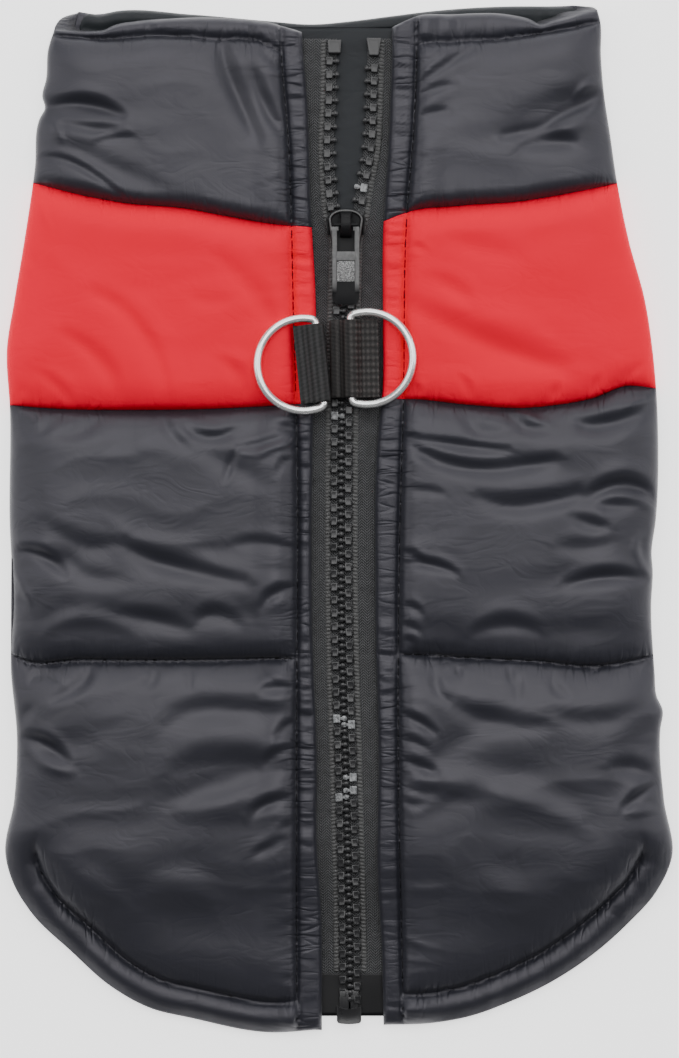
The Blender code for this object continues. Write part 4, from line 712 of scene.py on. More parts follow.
def tuck_rows(points, inward, wrap):
    """Rows of outer and inner points that turn a panel under, from its outline inwards."""
    middle = FOLD_MIDDLE * wrap + HEM_MIDDLE * (1 - wrap)
    radius = UNDER_RADIUS * wrap + HEM_MIDDLE * (1 - wrap)
    flat = np.zeros_like(wrap)
    outer = [(radius * (1 - math.cos(math.radians(a))), middle * (1 - math.sin(math.radians(a))))
             for a in TURN_ANGLES]
    outer += [(radius, flat), (TUCK_WIDTH * wrap + 3.1 * (1 - wrap), flat)]
    inner = [(5.2 * wrap + 5.9 * (1 - wrap), 3.1 * wrap), (5.3 * wrap + 5.2 * (1 - wrap), 2.75 * wrap),
             (6.2 * wrap + 4.5 * (1 - wrap), TUCK_TOP * wrap),
             (TUCK_WIDTH * wrap + 3.8 * (1 - wrap), TUCK_TOP * wrap)]
    fine = []
    for at in np.interp(np.arange(len(outer)), [0, 1, len(outer) - 2, len(outer) - 1], [0, 0.5, 2, 3]):
        k = min(int(at), 2)
        part = at - k
        fine.append(tuple(a * (1 - part) + b * part for a, b in zip(inner[k], inner[k + 1])))
    return [[np.column_stack([points + inward * inset[:, None], height]) for inset, height in face]
            for face in (outer, fine)]


def grid_sheet(name, x, y, high, low, uv=None):
    """A sheet over a grid of plan points, between a lower and an upper height."""
    faces = [np.stack(np.broadcast_arrays(x, y, z), axis=-1).reshape(-1, 3) for z in (high, low)]
    return thick_sheet(name, grid_cells(*high.shape), *faces, uv)


# %% A panel of the near wall
def near_panel(name, side, blocks, hemmed):
    """A panel of blocks (kind and plan grid), each starting on the last one's bottom row."""
    grid = np.concatenate([blocks[0][1]] + [more[1:] for _, more in blocks[1:]])
    kinds = np.repeat([kind for kind, _ in blocks],
                      [len(blocks[0][1])] + [len(more) - 1 for _, more in blocks[1:]])
    rows, columns = grid.shape[:2]
    top = np.zeros((rows, columns))
    for kind in dict.fromkeys(kinds):
        pick = kinds == kind
        top[pick] = near_outer(side, kind, grid[pick, :, 0], grid[pick, :, 1])
    outer = np.concatenate([grid, top[..., None]], axis=2).reshape(-1, 3)
    loop = [r * columns + columns - 1 for r in range(rows)]
    if hemmed:
        loop += [(rows - 1) * columns + c for c in range(columns - 2, -1, -1)]
    rim = outer[loop, :2]
    inward = inward_normals(side, rim[:, 0], rim[:, 1])
    wrap = 1 - smooth_step((-78.0 - rim[:, 1]) / 9.0)
    wrap[np.array(loop) % columns != columns - 1] = 0.0
    inset = 6.0 * wrap + 6.6 * (1 - wrap)
    plan = pull_in(side, grid.reshape(-1, 2), inset.max() + 0.2)
    plan[loop] = rim + inward * inset[:, None]
    inner = np.column_stack([plan, lying(side, *plan.T)])
    tuck_outer, tuck_inner = tuck_rows(rim, inward, wrap)
    cells = grid_cells(rows, columns)
    base, count = len(outer), len(loop)
    lines = [loop] + [[base + k * count + i for i in range(count)] for k in range(len(tuck_outer))]
    for one, two in zip(lines, lines[1:]):
        cells += [(one[i], two[i], two[i + 1], one[i + 1]) for i in range(count - 1)]
    piece = thick_sheet(name, cells, np.concatenate([outer, *tuck_outer]),
                        np.concatenate([inner, *tuck_inner]))
    print(name, len(piece.data.polygons), "faces")
    return piece


# %% Where stitches pucker the cloth
def point_heights(thing):
    """All points of an object, in millimetres."""
    points = np.zeros(len(thing.data.vertices) * 3)
    thing.data.vertices.foreach_get("co", points)
    return points.reshape(-1, 3) / MM


def set_mark(thing, name, values):
    layer = thing.data.attributes.new(name, "FLOAT", "POINT")
    layer.data.foreach_set("value", np.asarray(values, dtype=np.float32))


def mark_puckers(thing, side, lines, hemmed=False):
    """Marks how near each point is to the placket's stitches and to the crossing seams."""
    x, y, _ = point_heights(thing).T
    sign = side * np.ones_like(x) if side else np.where(x > follow(CHAIN_MIDDLE, y), RIGHT, LEFT)
    edge, stitch = (np.where(sign > 0, follow(line[RIGHT], y), follow(line[LEFT], y))
                    for line in (ZIP_EDGE, PLACKET_STITCH))
    beside, band = sign * (x - edge), sign * (stitch - edge)
    upright = np.where(beside < band, np.clip(beside / 0.8, 0.0, 1.0), np.exp((band - beside) / 2.6))
    level = np.zeros_like(x)
    for line in lines:
        level = np.maximum(level, np.exp(-np.abs(y - follow(line, x)) / 2.0))
    if hemmed:
        inside = edge_distance(side, x, y)
        level = np.maximum(level, hem_margin_share(y) * np.exp(-np.abs(inside - HEM_MARGIN) / 2.4))
    set_mark(thing, "beside_placket", upright * (0.55 + 0.45 * ripple(y, 12.0, 90 + side)))
    level = 1.6 * level * (0.6 + 0.4 * ripple(x, 11.0, 93 + side)) * (1.0 - 0.6 * upright)
    set_mark(thing, "beside_seam", level)


# %% Yokes and bodies
SEAM_OVERLAP = 0.05         # sewn pieces meet, so no light shows between them
pieces = {}
for side, word in SIDE_NAMES.items():
    yoke_grid = channel(side, COLLAR_SEAM, YOKE_SEAM, SEAM_OVERLAP, -SEAM_OVERLAP)
    pieces["yoke", side] = near_panel(f"yoke_{word}_cloth", side, [("yoke", yoke_grid)], False)
    mark_puckers(pieces["yoke", side], side, (COLLAR_SEAM, YOKE_SEAM))
    upper_grid = channel(side, YOKE_SEAM, QUILT_LINE, SEAM_OVERLAP, 0.0)
    blocks = [("upper", upper_grid), ("lower", tail_channel(side))]
    pieces["body", side] = near_panel(f"body_{word}_cloth", side, blocks, True)
    mark_puckers(pieces["body", side], side, (YOKE_SEAM, QUILT_LINE), True)

# %% [markdown]
# ## The collar
# The collar is one padded band round the neck. Laid flat, it has two near walls, a fold at each side and
# a far wall that shows above them. One sheet of points runs all the way round, so no fold has a seam.

# %% The collar band
FAR_STEPS = 90
COLLAR_ROWS = len(steps_along(50.0))
FAR_ROLL = 0.9              # the far wall's edge is padded like the near one's


def far_top_height(x, y):
    """Upper face of the far collar wall: a rolled edge over a stitched margin."""
    below = follow(FAR_COLLAR_TOP, x) - y
    edge = rise(below, 1.8)
    inside = np.clip(below / COLLAR_TOP_MARGIN, 0.0, 1.0)
    roll = FAR_ROLL * np.sin(math.pi * inside) ** 0.7 * (1 + 0.35 * ripple(x, 2.9, 301))
    margin = smooth_step((COLLAR_TOP_MARGIN + 2.0 - below) / 2.0)
    return BELLY_TOP - 1.2 * (1 - edge) - 0.8 * margin + roll * margin


def collar_side(side):
    """Columns of outer and inner points of one near wall and its fold, from the zip outwards."""
    grid = channel(side, NEAR_COLLAR_TOP, COLLAR_SEAM, 0.0, -SEAM_OVERLAP, COLLAR_ROWS)
    rows, columns = grid.shape[:2]
    x, y = grid[..., 0], grid[..., 1]
    top = near_outer(side, "collar", x, y)
    base = lying(side, x, y)
    edge = rise(follow(NEAR_COLLAR_TOP, x) - y, 1.6)
    top = base + 0.9 + (top - base - 0.9) * (0.35 + 0.65 * edge)
    top[:, -1] = FOLD_MIDDLE
    rim = grid[:, -1]
    inward = np.tile([-float(side), 0.0], (rows, 1))
    plan = pull_in(side, grid.reshape(-1, 2), 6.2).reshape(grid.shape)
    plan[:, -1] = rim + inward * 6.0
    low = lying(side, plan[..., 0], plan[..., 1])
    tuck_outer, tuck_inner = tuck_rows(rim, inward, np.ones(rows))
    high = np.clip((rim[:, 1] - COLLAR_FAR_SEAM) / (rim[0, 1] - COLLAR_FAR_SEAM), 0, 1)
    last = len(tuck_outer) - 2
    for step in range(last + 1):
        climb = follow(FAR_COLLAR_TOP, tuck_outer[step][0, 0]) - rim[0, 1]
        for face in (tuck_outer, tuck_inner):
            face[step][:, 1] += climb * smooth_step((step + 2) / 4) * high
    out_columns = [np.column_stack([grid[:, c], top[:, c]]) for c in range(columns)]
    in_columns = [np.column_stack([plan[:, c], low[:, c]]) for c in range(columns)]
    return out_columns + tuck_outer[:last + 1], in_columns + tuck_inner[:last + 1]


def collar_band():
    outer, inner = collar_side(LEFT)
    right_outer, right_inner = (face[::-1] for face in collar_side(RIGHT))
    start, end = outer[-1][:, :2], right_outer[0][:, :2]
    rows, len_left = len(start), len(inner)
    for k in range(1, FAR_STEPS):
        share = k / FAR_STEPS
        x = start[:, 0] * (1 - share) + end[:, 0] * share
        far_top = follow(FAR_COLLAR_TOP, x[0])
        fraction = (start[:, 1] - start[-1, 1]) / (start[0, 1] - start[-1, 1])
        low_y = start[-1, 1] * (1 - share) + end[-1, 1] * share
        y = low_y + (far_top - low_y) * fraction
        joined = smooth_step(min(k, FAR_STEPS - k) / 7.0)
        turned = (inner[len_left - 1] if share < 0.5 else right_inner[0])
        lining_x = turned[:, 0] * (1 - joined) + x * joined
        lining_z = turned[:, 2] * (1 - joined) + far_top_height(x, y) * joined
        outer.append(np.column_stack([x, y, np.zeros(rows)]))
        inner.append(np.column_stack([lining_x, y, lining_z]))
    faces = [np.stack(face, axis=1).reshape(-1, 3) for face in (outer + right_outer, inner + right_inner)]
    return thick_sheet("collar_cloth", grid_cells(rows, len(faces[0]) // rows), *faces)


collar = collar_band()
mark_puckers(collar, 0, (COLLAR_SEAM, COLLAR_MARGIN_SEAM))
print("collar", len(collar.data.polygons), "faces")

# %% [markdown]
# ## What lies inside and under
# Through the open zip, and above the near wall, the far collar wall shows its smooth lining. The belly
# panel is hidden, so it is plain: padded, with two leg holes, flat where it rests on the table.

# %% The lining behind the open zip, and its strip on the far wall's edge
LINING_X, LINING_Y = (-15.0, 19.0), (128.2, 80.0)
FACING_X, FACING_WALL, FACING_DEPTH = (-67.6, 65.5), 0.36, 9.0


def lining_sheet():
    x, y = np.meshgrid(np.linspace(*LINING_X, 45), np.linspace(*LINING_Y, 55))
    hollow = 0.32 * np.sin((x - 2.0) / 9.0) + 0.22 * rumple(x, y, 7.0, 17.0, 311)
    low = np.full_like(x, BELLY_TOP + SEAM_GAP)
    high = low + 0.62 + 0.3 * hollow * smooth_step((LINING_Y[0] - y) / 3.0)
    return grid_sheet("collar_lining_cloth", x, y, high, low)


def facing_sheet():
    """The same lining on the far wall's edge, where it shows above the near wall."""
    x = np.linspace(*FACING_X, 200)
    top = follow(FAR_COLLAR_TOP, x) - 0.25
    near = np.minimum(follow(NEAR_COLLAR_TOP, x), top)
    top = near + (top - near) * rise(x - FACING_X[0] + 0.1, 3.5)
    low = near - FACING_DEPTH
    low = np.where((x > LINING_X[0] - 0.5) & (x < LINING_X[1] + 0.5), LINING_Y[0] + 0.3, low)
    y = top + (low - top) * np.linspace(0, 1, 16)[:, None]
    x = np.repeat(x[None], len(y), axis=0)
    under = far_top_height(x, y) + 0.03
    bumps = 0.7 + 0.3 * ripple(x, 3.1, 371) * smooth_step((y - low) / 1.5)
    high = under + FACING_WALL * bumps * (0.3 + 0.7 * rise(top - y, 1.0))
    return grid_sheet("collar_facing_cloth", x, y, high, under)


lining, facing = lining_sheet(), facing_sheet()

# %% The belly panel with its two leg holes
LEG_HOLES = ((-39.0, 45.0), (40.0, 45.0))
LEG_HALF = (21.0, 25.0)
BELLY_Y = (86.7, -78.0)
BELLY_STEP = 1.7


def belly_outline():
    y = BELLY_Y[0] + (BELLY_Y[1] - BELLY_Y[0]) * np.linspace(0, 1, 110)
    left, right = (pair(side_height(side, y) - side * (TUCK_WIDTH + SEAM_GAP), y) for side in SIDE_NAMES)
    hem_x = np.linspace(left[-1, 0], right[-1, 0], 80)[1:-1]
    hem = pair(hem_x, follow(BELLY_HEM, hem_x))
    top_x = np.linspace(right[0, 0], left[0, 0], 80)[1:-1]
    top = pair(top_x, np.full_like(top_x, BELLY_Y[0]))
    return np.concatenate([left, hem, right[::-1], top])


def hole_ratio(points, hole, more=0.0):
    """Distance of points from a leg hole's middle, 1 on its rim; more makes the hole wider."""
    return np.hypot(*((points[:, k] - hole[k]) / (LEG_HALF[k] + more) for k in (0, 1)))


def belly_sheet():
    turn = np.linspace(0, 2 * math.pi, 72, endpoint=False)
    loops = [belly_outline()]
    loops += [pair(x + LEG_HALF[0] * np.cos(-turn), y + LEG_HALF[1] * np.sin(-turn)) for x, y in LEG_HOLES]
    field = np.stack(np.meshgrid(np.arange(-72, 72, BELLY_STEP), np.arange(-80, 86, BELLY_STEP)), axis=-1)
    field = field.reshape(-1, 2)
    x, y = field.T
    edge_x = np.minimum(side_height(RIGHT, y) - TUCK_WIDTH - x, x - side_height(LEFT, y) - TUCK_WIDTH)
    keep = (edge_x > 1.3) & (y < BELLY_Y[0] - 1.0) & (y > follow(BELLY_HEM, x) + 1.0)
    for hole in LEG_HOLES:
        keep &= hole_ratio(field, hole, 1.2) > 1.0
    points = np.concatenate(loops + [field[keep]])
    edges, start = [], 0
    for loop in loops:
        edges += [(start + k, start + (k + 1) % len(loop)) for k in range(len(loop))]
        start += len(loop)
    found = delaunay_2d_cdt([Vector(point) for point in points], edges, [], 1, 1e-5)
    plan = np.array([tuple(point) for point in found[0]])
    centres = np.array([plan[list(triangle)].mean(axis=0) for triangle in found[2]])
    solid = np.all([hole_ratio(centres, hole) >= 1 for hole in LEG_HOLES], axis=0)
    cells = [tuple(triangle) for triangle, kept in zip(found[2], solid) if kept]
    away = np.full(len(plan), 99.0)
    for hole in LEG_HOLES:
        away = np.minimum(away, (hole_ratio(plan, hole) - 1) * LEG_HALF[0])
    dents = np.clip(rumple(plan[:, 0], plan[:, 1], 24.0, 15.0, 321) - 0.15, 0, None) * 0.5
    crease = np.clip(0.18 - np.abs(rumple(plan[:, 0], plan[:, 1], 30.0, 12.0, 322)), 0, None) * 3.0
    under = (dents + crease) * smooth_step((away - 1.0) / 6.0)
    upper = BELLY_TOP - 0.5 * (1 - rise(np.clip(away, 0, None), 2.0))
    return thick_sheet("belly_panel_cloth", cells, np.column_stack([plan, upper]),
                       np.column_stack([plan, under]))


belly = belly_sheet()
print("belly panel", len(belly.data.polygons), "faces")

# %% [markdown]
# ## Materials
# Thin nylon is a dye under a satin shine, which spreads because the cloth is full of wrinkles too small
# to model. So its colour and roughness vary a little, and its bump is made of small wrinkles, the weave
# and the puckers beside the stitches. These are node groups, because every cloth uses them with its own
# numbers. A small class adds the nodes, so that a pattern reads as the formula that it is.

# %% Short words for shader nodes
FLOAT, VECTOR = "NodeSocketFloat", "NodeSocketVector"


def connect(value, socket):
    """Gives an input a wire, or else a plain number or colour."""
    if isinstance(value, Wire):
        socket.id_data.links.new(value.socket, socket)
    elif value is not None:
        socket.default_value = (*value, 1.0) if socket.type == "RGBA" and len(value) == 3 else value


class Wire:
    """A node's output. Sums and products of wires are math nodes, so a formula reads as a formula."""

    def __init__(self, socket):
        self.socket = socket

    def node(self, kind, output, inputs, **settings):
        """A new node in the wire's tree; gives the named output of it."""
        made = self.socket.id_data.nodes.new("ShaderNode" + kind)
        for name, value in settings.items():
            setattr(made, name, value)
        for name, value in inputs.items():
            connect(value, made.inputs[name])
        return Wire(made.outputs[output])

    def math(self, operation, first, second=None):
        return self.node("Math", 0, {0: first, 1: second}, operation=operation)

    def __add__(self, other):
        return self.math("ADD", self, other)

    def __mul__(self, other):
        return self.math("MULTIPLY", self, other)

    def __sub__(self, other):
        return self.math("SUBTRACT", self, other)

    def __rsub__(self, other):
        return self.math("SUBTRACT", other, self)

    def __rtruediv__(self, other):
        return self.math("DIVIDE", other, self)

    def sine(self):
        return self.math("SINE", self)

    def clamped(self):
        self.socket.node.use_clamp = True
        return self

    def creases(self, sharp):
        """Lines where a noise passes its middle: 0 on the line, and up to 1 beside it."""
        return self.math("MINIMUM", self.math("ABSOLUTE", self - 0.5) * sharp, 1.0)

    def scaled(self, *factors):
        return self.node("VectorMath", 0, {0: self, 1: factors}, operation="MULTIPLY")

    def split(self):
        made = self.node("SeparateXYZ", 0, {0: self}).socket.node
        return Wire(made.outputs["X"]), Wire(made.outputs["Y"])

    def noise(self, scale, detail=3.0, rough=0.5, distortion=0.0):
        return self.node("TexNoise", "Fac", {"Vector": self, "Scale": scale, "Detail": detail,
                                             "Roughness": rough, "Distortion": distortion})

    def blend(self, first, second):
        """From one colour to the other by this mask."""
        return self.node("Mix", "Result", {"Factor": self, "A": first, "B": second}, data_type="RGBA")

    def spread(self, low, high):
        return self.node("MapRange", "Result", {"Value": self, "To Min": low, "To Max": high})

    def bump(self, distance_mm, strength, normal=None):
        return self.node("Bump", "Normal", {"Height": self, "Distance": distance_mm * MM,
                                            "Strength": strength, "Normal": normal})

    def effect(self, group, **values):
        """Places a node group on this vector; gives its outputs by name."""
        made = self.node("Group", 0, {}, node_tree=group).socket.node
        for name, value in {"Vector": self, **values}.items():
            connect(value, made.inputs[name])
        return {output.name: Wire(output) for output in made.outputs}


def effect_group(name, formula, inputs, outputs):
    """A shader node group: the formula makes its outputs, masks and heights, from its inputs."""
    group = bpy.data.node_groups.new(name, "ShaderNodeTree")
    for socket_name, value in {"Vector": None, **inputs}.items():
        socket = group.interface.new_socket(socket_name, in_out="INPUT",
                                            socket_type=VECTOR if value is None else FLOAT)
        if value is not None:
            socket.default_value = value
    for socket_name in outputs:
        group.interface.new_socket(socket_name, in_out="OUTPUT", socket_type=FLOAT)
    start, end = group.nodes.new("NodeGroupInput"), group.nodes.new("NodeGroupOutput")
    for socket, wire in zip(end.inputs, formula(*(Wire(start.outputs[k]) for k in range(1 + len(inputs))))):
        connect(wire, socket)
    return group


def finish(name):
    """A new material, and a wire with its Object coordinates."""
    material = bpy.data.materials.new(name)
    material.use_nodes = True
    return material, Wire(material.node_tree.nodes.new("ShaderNodeTexCoord").outputs["Object"])


def set_shader(material, **values):
    """Sets the shader's inputs; an underscore in a name stands for a space."""
    shader = material.node_tree.nodes["Principled BSDF"]
    for name, value in values.items():
        connect(value, shader.inputs[name.replace("_", " ")])
    return material


def mark_on(place, name):
    """The value that a piece's points carry under a name."""
    return place.node("Attribute", "Fac", {}, attribute_name=name)


# %% Small wrinkles, threads and puckers
def wrinkles(vector, size):
    """Fine wrinkles that lie mostly across the coat. Size is in millimetres."""
    per_size, flat = PER_MM / size, vector.scaled(0.55, 1.0, 1.0)
    broad = flat.noise(per_size, 2.0, 0.5, 1.2)
    fine = flat.noise(per_size * 2.7, 3.0, 0.6, 0.8)
    return broad.creases(6.0) + fine * 0.6, broad


def weave(vector, threads):
    """Plain weave: threads over and under in two directions. Threads is how many lie in a millimetre."""
    (x, y), turn = vector.split(), threads * (PER_MM * math.pi)
    return [(x * turn).sine() * (y * turn).sine()]


def puckers(vector, across, along):
    """Thin sharp lines that cross a row of stitches: they run across the coat, or along it."""
    parts = [vector.scaled(*factors).noise(PER_MM / 2.6, 1.0, 0.4, 0.5).creases(7.0) * share
             for share, factors in ((across, (0.22, 1.0, 0.3)), (along, (1.0, 0.22, 0.3)))]
    return [parts[0] + parts[1]]


def twill(vector, pitch, slant):
    """Diagonal ribs of a thread or webbing, broken by crossing threads. Pitch is in millimetres."""
    turn = (2 * math.pi * PER_MM) / pitch
    x, y = (part * turn for part in vector.split())
    both = (x * slant + y).sine() + (x * 1.7 - y).sine() * 0.7
    return both, ((both + 1.7) * 0.3).clamped()


FINE_WRINKLES = effect_group("fine_wrinkles", wrinkles, {"Size": 6.0}, ("Height", "Mask"))
PLAIN_WEAVE = effect_group("plain_weave", weave, {"Threads": 3.0}, ("Height",))
STITCH_PUCKERS = effect_group("stitch_puckers", puckers, {"Across": 0.0, "Along": 0.0}, ("Height",))
TWILL_RIBS = effect_group("twill_ribs", twill, {"Pitch": 1.0, "Slant": 1.0}, ("Height", "Threads"))


# %% The nylon
def nylon(name, dark, light, rough_low, rough_high, shine, sheen):
    material, place = finish(name)
    fine = place.effect(FINE_WRINKLES, Size=7.0)
    woven = place.effect(PLAIN_WEAVE, Threads=2.6)["Height"].bump(0.010, 0.15)
    sewn = place.effect(STITCH_PUCKERS, Across=mark_on(place, "beside_placket"),
                        Along=mark_on(place, "beside_seam"))["Height"].bump(0.30, 0.9, woven)
    return set_shader(material, Base_Color=place.noise(PER_MM / 30.0, 3.0, 0.55, 0.4).blend(dark, light),
                      Roughness=fine["Mask"].spread(rough_low, rough_high),
                      Normal=fine["Height"].bump(0.13, 0.26, sewn),
                      Specular_IOR_Level=shine, Specular_Tint=(0.98, 0.94, 1.0),
                      Sheen_Weight=sheen, Sheen_Roughness=0.45)


BLACK_NYLON = nylon("black_nylon_cloth", (0.012, 0.013, 0.019), (0.018, 0.019, 0.027), 0.44, 0.54, 0.58, 0.05)
RED_NYLON = nylon("red_nylon_cloth", (0.87, 0.0015, 0.026), (0.93, 0.002, 0.036), 0.46, 0.56, 0.05, 0.0)
LINING_CLOTH = nylon("lining_cloth", (0.008, 0.011, 0.012), (0.014, 0.018, 0.020), 0.50, 0.62, 0.3, 0.04)


def dress(piece, material, body, slot_name, *nodes):
    """Gives a piece its finish, the body that it moves with and the CAD nodes that it stands for."""
    piece.data.materials.clear()
    piece.data.materials.append(material)
    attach(piece, body)
    if nodes:
        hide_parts(*nodes)
    return piece


# %% [markdown]
# The size that each sheet of cloth was cut to is listed here: a body panel's width runs from the zip
# to the belly seam, its length from the upper seam to the hem.

# %% Dress the cloth pieces
CUTS = {                    # width and length in metres, and the share of that rectangle that is cloth
    "collar": (0.345, 0.052, 0.97),
    "yoke": (0.098, 0.056, 0.93),
    "body": (0.105, 0.175, 0.88),
    "belly": (0.148, 0.170, 0.86),
    "lining": (0.034, 0.048, 0.98),
    "facing": (0.1331, 0.0115, 0.80),
}


def declare_cloth(piece, cut):
    width, length, share = CUTS[cut]


dress(collar, BLACK_NYLON, "coat", "black_nylon", "collar")
declare_cloth(collar, "collar")
for side, word in SIDE_NAMES.items():
    for cut, cloth, slot_name in (("yoke", RED_NYLON, "red_nylon"), ("body", BLACK_NYLON, "black_nylon")):
        dress(pieces[cut, side], cloth, "coat", slot_name, f"{cut}_{word}")
        declare_cloth(pieces[cut, side], cut)
dress(belly, BLACK_NYLON, "coat", "black_nylon", "belly_panel")
declare_cloth(belly, "belly")
dress(lining, LINING_CLOTH, "coat", "lining", "collar_lining")
declare_cloth(lining, "lining")
dress(facing, LINING_CLOTH, "coat", "lining")
declare_cloth(facing, "facing")

# %% [markdown]
# ## The zip
# A moulded zip has two woven tapes, each with a round cord along its edge and a row of plastic teeth
# moulded on that cord. A line of ribs shows beside the teeth, where the cord's threads come out. The
# tape is a thin sheet of points; its cord is a half round whose height goes up and down with each rib.

# %% Lines of the zip
CHAIN_PITCH = 3.42          # from one tooth to the next of the same row
TOOTH_REACH = 0.9           # closed teeth pass the middle by this much
TOOTH_BASE = (1.75, 3.55)   # from the tooth's tip
CORD_BAND = {LEFT: (3.35, 5.05), RIGHT: (3.55, 5.25)}
CORD_PITCH = 0.97
CORD_HEIGHT = 0.42
TAPE_EDGE = 0.74            # the tape begins here, from the teeth's tips
ZIP_ENDS = (125.4, -130.4)
STIFF_END = -118.0          # from here on the tape is stiffened with a film


def tooth_tips(side, y):
    """x of the tips of a row of teeth: past the middle where the zip is closed."""
    return chain_side(side, y) - side * TOOTH_REACH * smooth_step((80.0 - y) / 8.0)


def tape_top(y):
    return ground(y) + TAPE_LIFT + TAPE_WALL


# %% Tapes with their ribbed cords
def zip_tape(side):
    y = np.arange(ZIP_ENDS[0], ZIP_ENDS[1] - 0.01, -1.0)[:, None]
    across = np.linspace(0, 1, 15)
    far = follow(ZIP_EDGE[side], y) + side * (6.0 - 3.0 * smooth_step((-108.0 - y) / 10.0))
    near = tooth_tips(side, y) + side * TAPE_EDGE
    x, y = np.broadcast_arrays(near + (far - near) * across, y)
    sway = 0.14 * rumple(x, y, 9.0, 12.0, 401 + side) * np.sin(math.pi * across)
    high = tape_top(y) + sway
    high[:, 0] -= 0.15
    uv = np.stack([np.abs(x - near), y], axis=-1).reshape(-1, 2)
    return grid_sheet(f"zip_tape_{SIDE_NAMES[side]}_cloth", x, y, high, high - TAPE_WALL * 0.8, uv)


def zip_cord(side):
    """The ribs of the tape's corded edge, beside the teeth."""
    y = np.arange(ZIP_ENDS[0] - 0.5, STIFF_END, -CORD_PITCH / 6)[:, None]
    inner, outer = CORD_BAND[side]
    across = np.linspace(-1, 1, 7)
    x = tooth_tips(side, y) + side * ((inner + outer) / 2 + (outer - inner) / 2 * across)
    rib = np.abs(np.sin(math.pi * (y + 0.12 * across) / CORD_PITCH)) ** 0.7
    high = tape_top(y) - 0.12 + CORD_HEIGHT * (0.25 + 0.75 * rib) * np.sqrt(1.02 - across ** 2)
    x, y = np.broadcast_arrays(x, y)
    uv = np.stack([x, y], axis=-1).reshape(-1, 2)
    return grid_sheet(f"zip_cord_{SIDE_NAMES[side]}", x, y, high, tape_top(y) - 0.3, uv)


tapes = {side: zip_tape(side) for side in SIDE_NAMES}
cords = {side: zip_cord(side) for side in SIDE_NAMES}
print("tapes and cords", [len(thing.data.polygons) for thing in (*tapes.values(), *cords.values())])

# %% [markdown]
# ### Weave and moulded plastic
# The tape is a herringbone: diagonal ribs whose slant turns over every few threads. The pattern follows
# the tape, also where the open zip swings aside, so it reads the tape's own UV map. The plastic is a
# dark, slightly grainy resin; a few teeth are painted pale grey as a painted glint.

# %% Herringbone and grain
def herringbone(vector, stripe, pitch):
    """Diagonal ribs that turn over from stripe to stripe. Stripe and pitch are in millimetres."""
    x, y = (part * PER_MM for part in vector.split())
    slope = y + x.math("PINGPONG", x, stripe)
    rib = (slope * ((2 * math.pi) / pitch)).sine()
    height = rib + (x * 12.0).sine() * 0.35
    return height, (height * 0.37 + 0.5).clamped()


def grain(vector, size):
    """Fine moulded grain and faint scratches. Size is in millimetres."""
    per_size = PER_MM / size
    return vector.noise(per_size, 2.0, 0.6), vector.noise(per_size * 0.12)


HERRINGBONE = effect_group("herringbone", herringbone, {"Stripe": 1.4, "Pitch": 0.7}, ("Height", "Threads"))
MOULDED_GRAIN = effect_group("moulded_grain", grain, {"Size": 0.3}, ("Height", "Mask"))


# %% Tape and plastic materials
def tape_material():
    material, place = finish("zip_tape_weave")
    woven = Wire(place.socket.node.outputs["UV"]).effect(HERRINGBONE, Stripe=1.35, Pitch=0.72)
    film = ((STIFF_END * MM - place.split()[1]) * PER_MM).clamped()
    bare = 1.0 - film
    light = (woven["Threads"] * (place.noise(PER_MM / 2.2, 3.0, 0.6) + 0.35)).clamped() * bare
    return set_shader(material, Base_Color=light.blend((0.005, 0.005, 0.006), (0.110, 0.112, 0.116)),
                      Roughness=film.spread(0.72, 0.38), Normal=(woven["Height"] * bare).bump(0.09, 0.8),
                      Specular_IOR_Level=0.4)


def cord_material():
    material, place = finish("zip_cord_threads")
    twisted = place.effect(TWILL_RIBS, Pitch=0.34, Slant=0.2)
    colour = twisted["Threads"].blend((0.030, 0.030, 0.030), (0.095, 0.095, 0.095))
    return set_shader(material, Base_Color=colour, Roughness=twisted["Threads"].spread(0.5, 0.38),
                      Normal=twisted["Height"].bump(0.03, 0.6), Specular_IOR_Level=0.6)


# pale grey of the painted glint on a few teeth
GLINT_GREY = (0.40, 0.41, 0.42)


def zip_plastic():
    material, place = finish("zip_plastic_resin")
    moulded = place.effect(MOULDED_GRAIN, Size=0.35)
    resin = moulded["Mask"].blend((0.012, 0.012, 0.013), (0.024, 0.024, 0.026))
    # A few teeth are painted pale grey in spots: a painted glint where light would catch them.
    spots = place.noise(PER_MM / 0.7, 2.0, 0.6).spread(-0.5, 1.6)
    painted_glint = (mark_on(place, "painted_glint") * spots).clamped()
    return set_shader(material, Base_Color=painted_glint.blend(resin, GLINT_GREY),
                      Roughness=moulded["Mask"].spread(0.22, 0.36), Normal=moulded["Height"].bump(0.02, 0.6))


TAPE_WEAVE, CORD_THREADS = tape_material(), cord_material()
ZIP_PLASTIC = zip_plastic()

TAPE_CUT, TAPE_SHARE = (0.0145, 0.256), 0.95
for side, word in SIDE_NAMES.items():
    dress(tapes[side], TAPE_WEAVE, "coat", "zip_tape", f"zip_tape_{word}")
    math.prod(TAPE_CUT) * TAPE_SHARE
    dress(cords[side], CORD_THREADS, "coat", "zip_tape")

# %% [markdown]
# ### One tooth, copied
# A moulded tooth has a square foot, a thin neck and a head that locks between two heads of the other
# row. It starts as a box: its tip face is extruded and scaled for the neck and again for the head, the
# foot gets a shallow dish, and a bevel rounds the edges. It has few faces, as there are many copies.

# %% Shaping in edit mode
def only(thing=None):
    """Selects one object and makes it active, or selects nothing."""
    bpy.ops.object.select_all(action="DESELECT")
    if thing:
        thing.select_set(True)
        bpy.context.view_layer.objects.active = thing
    return thing


def set_down(name=None, thing=None):
    """Names an object, and writes its place, turn and size into its mesh."""
    thing = thing or bpy.context.object
    thing.name = thing.data.name = name or thing.name
    bpy.ops.object.transform_apply(location=True, rotation=True, scale=True)
    return thing


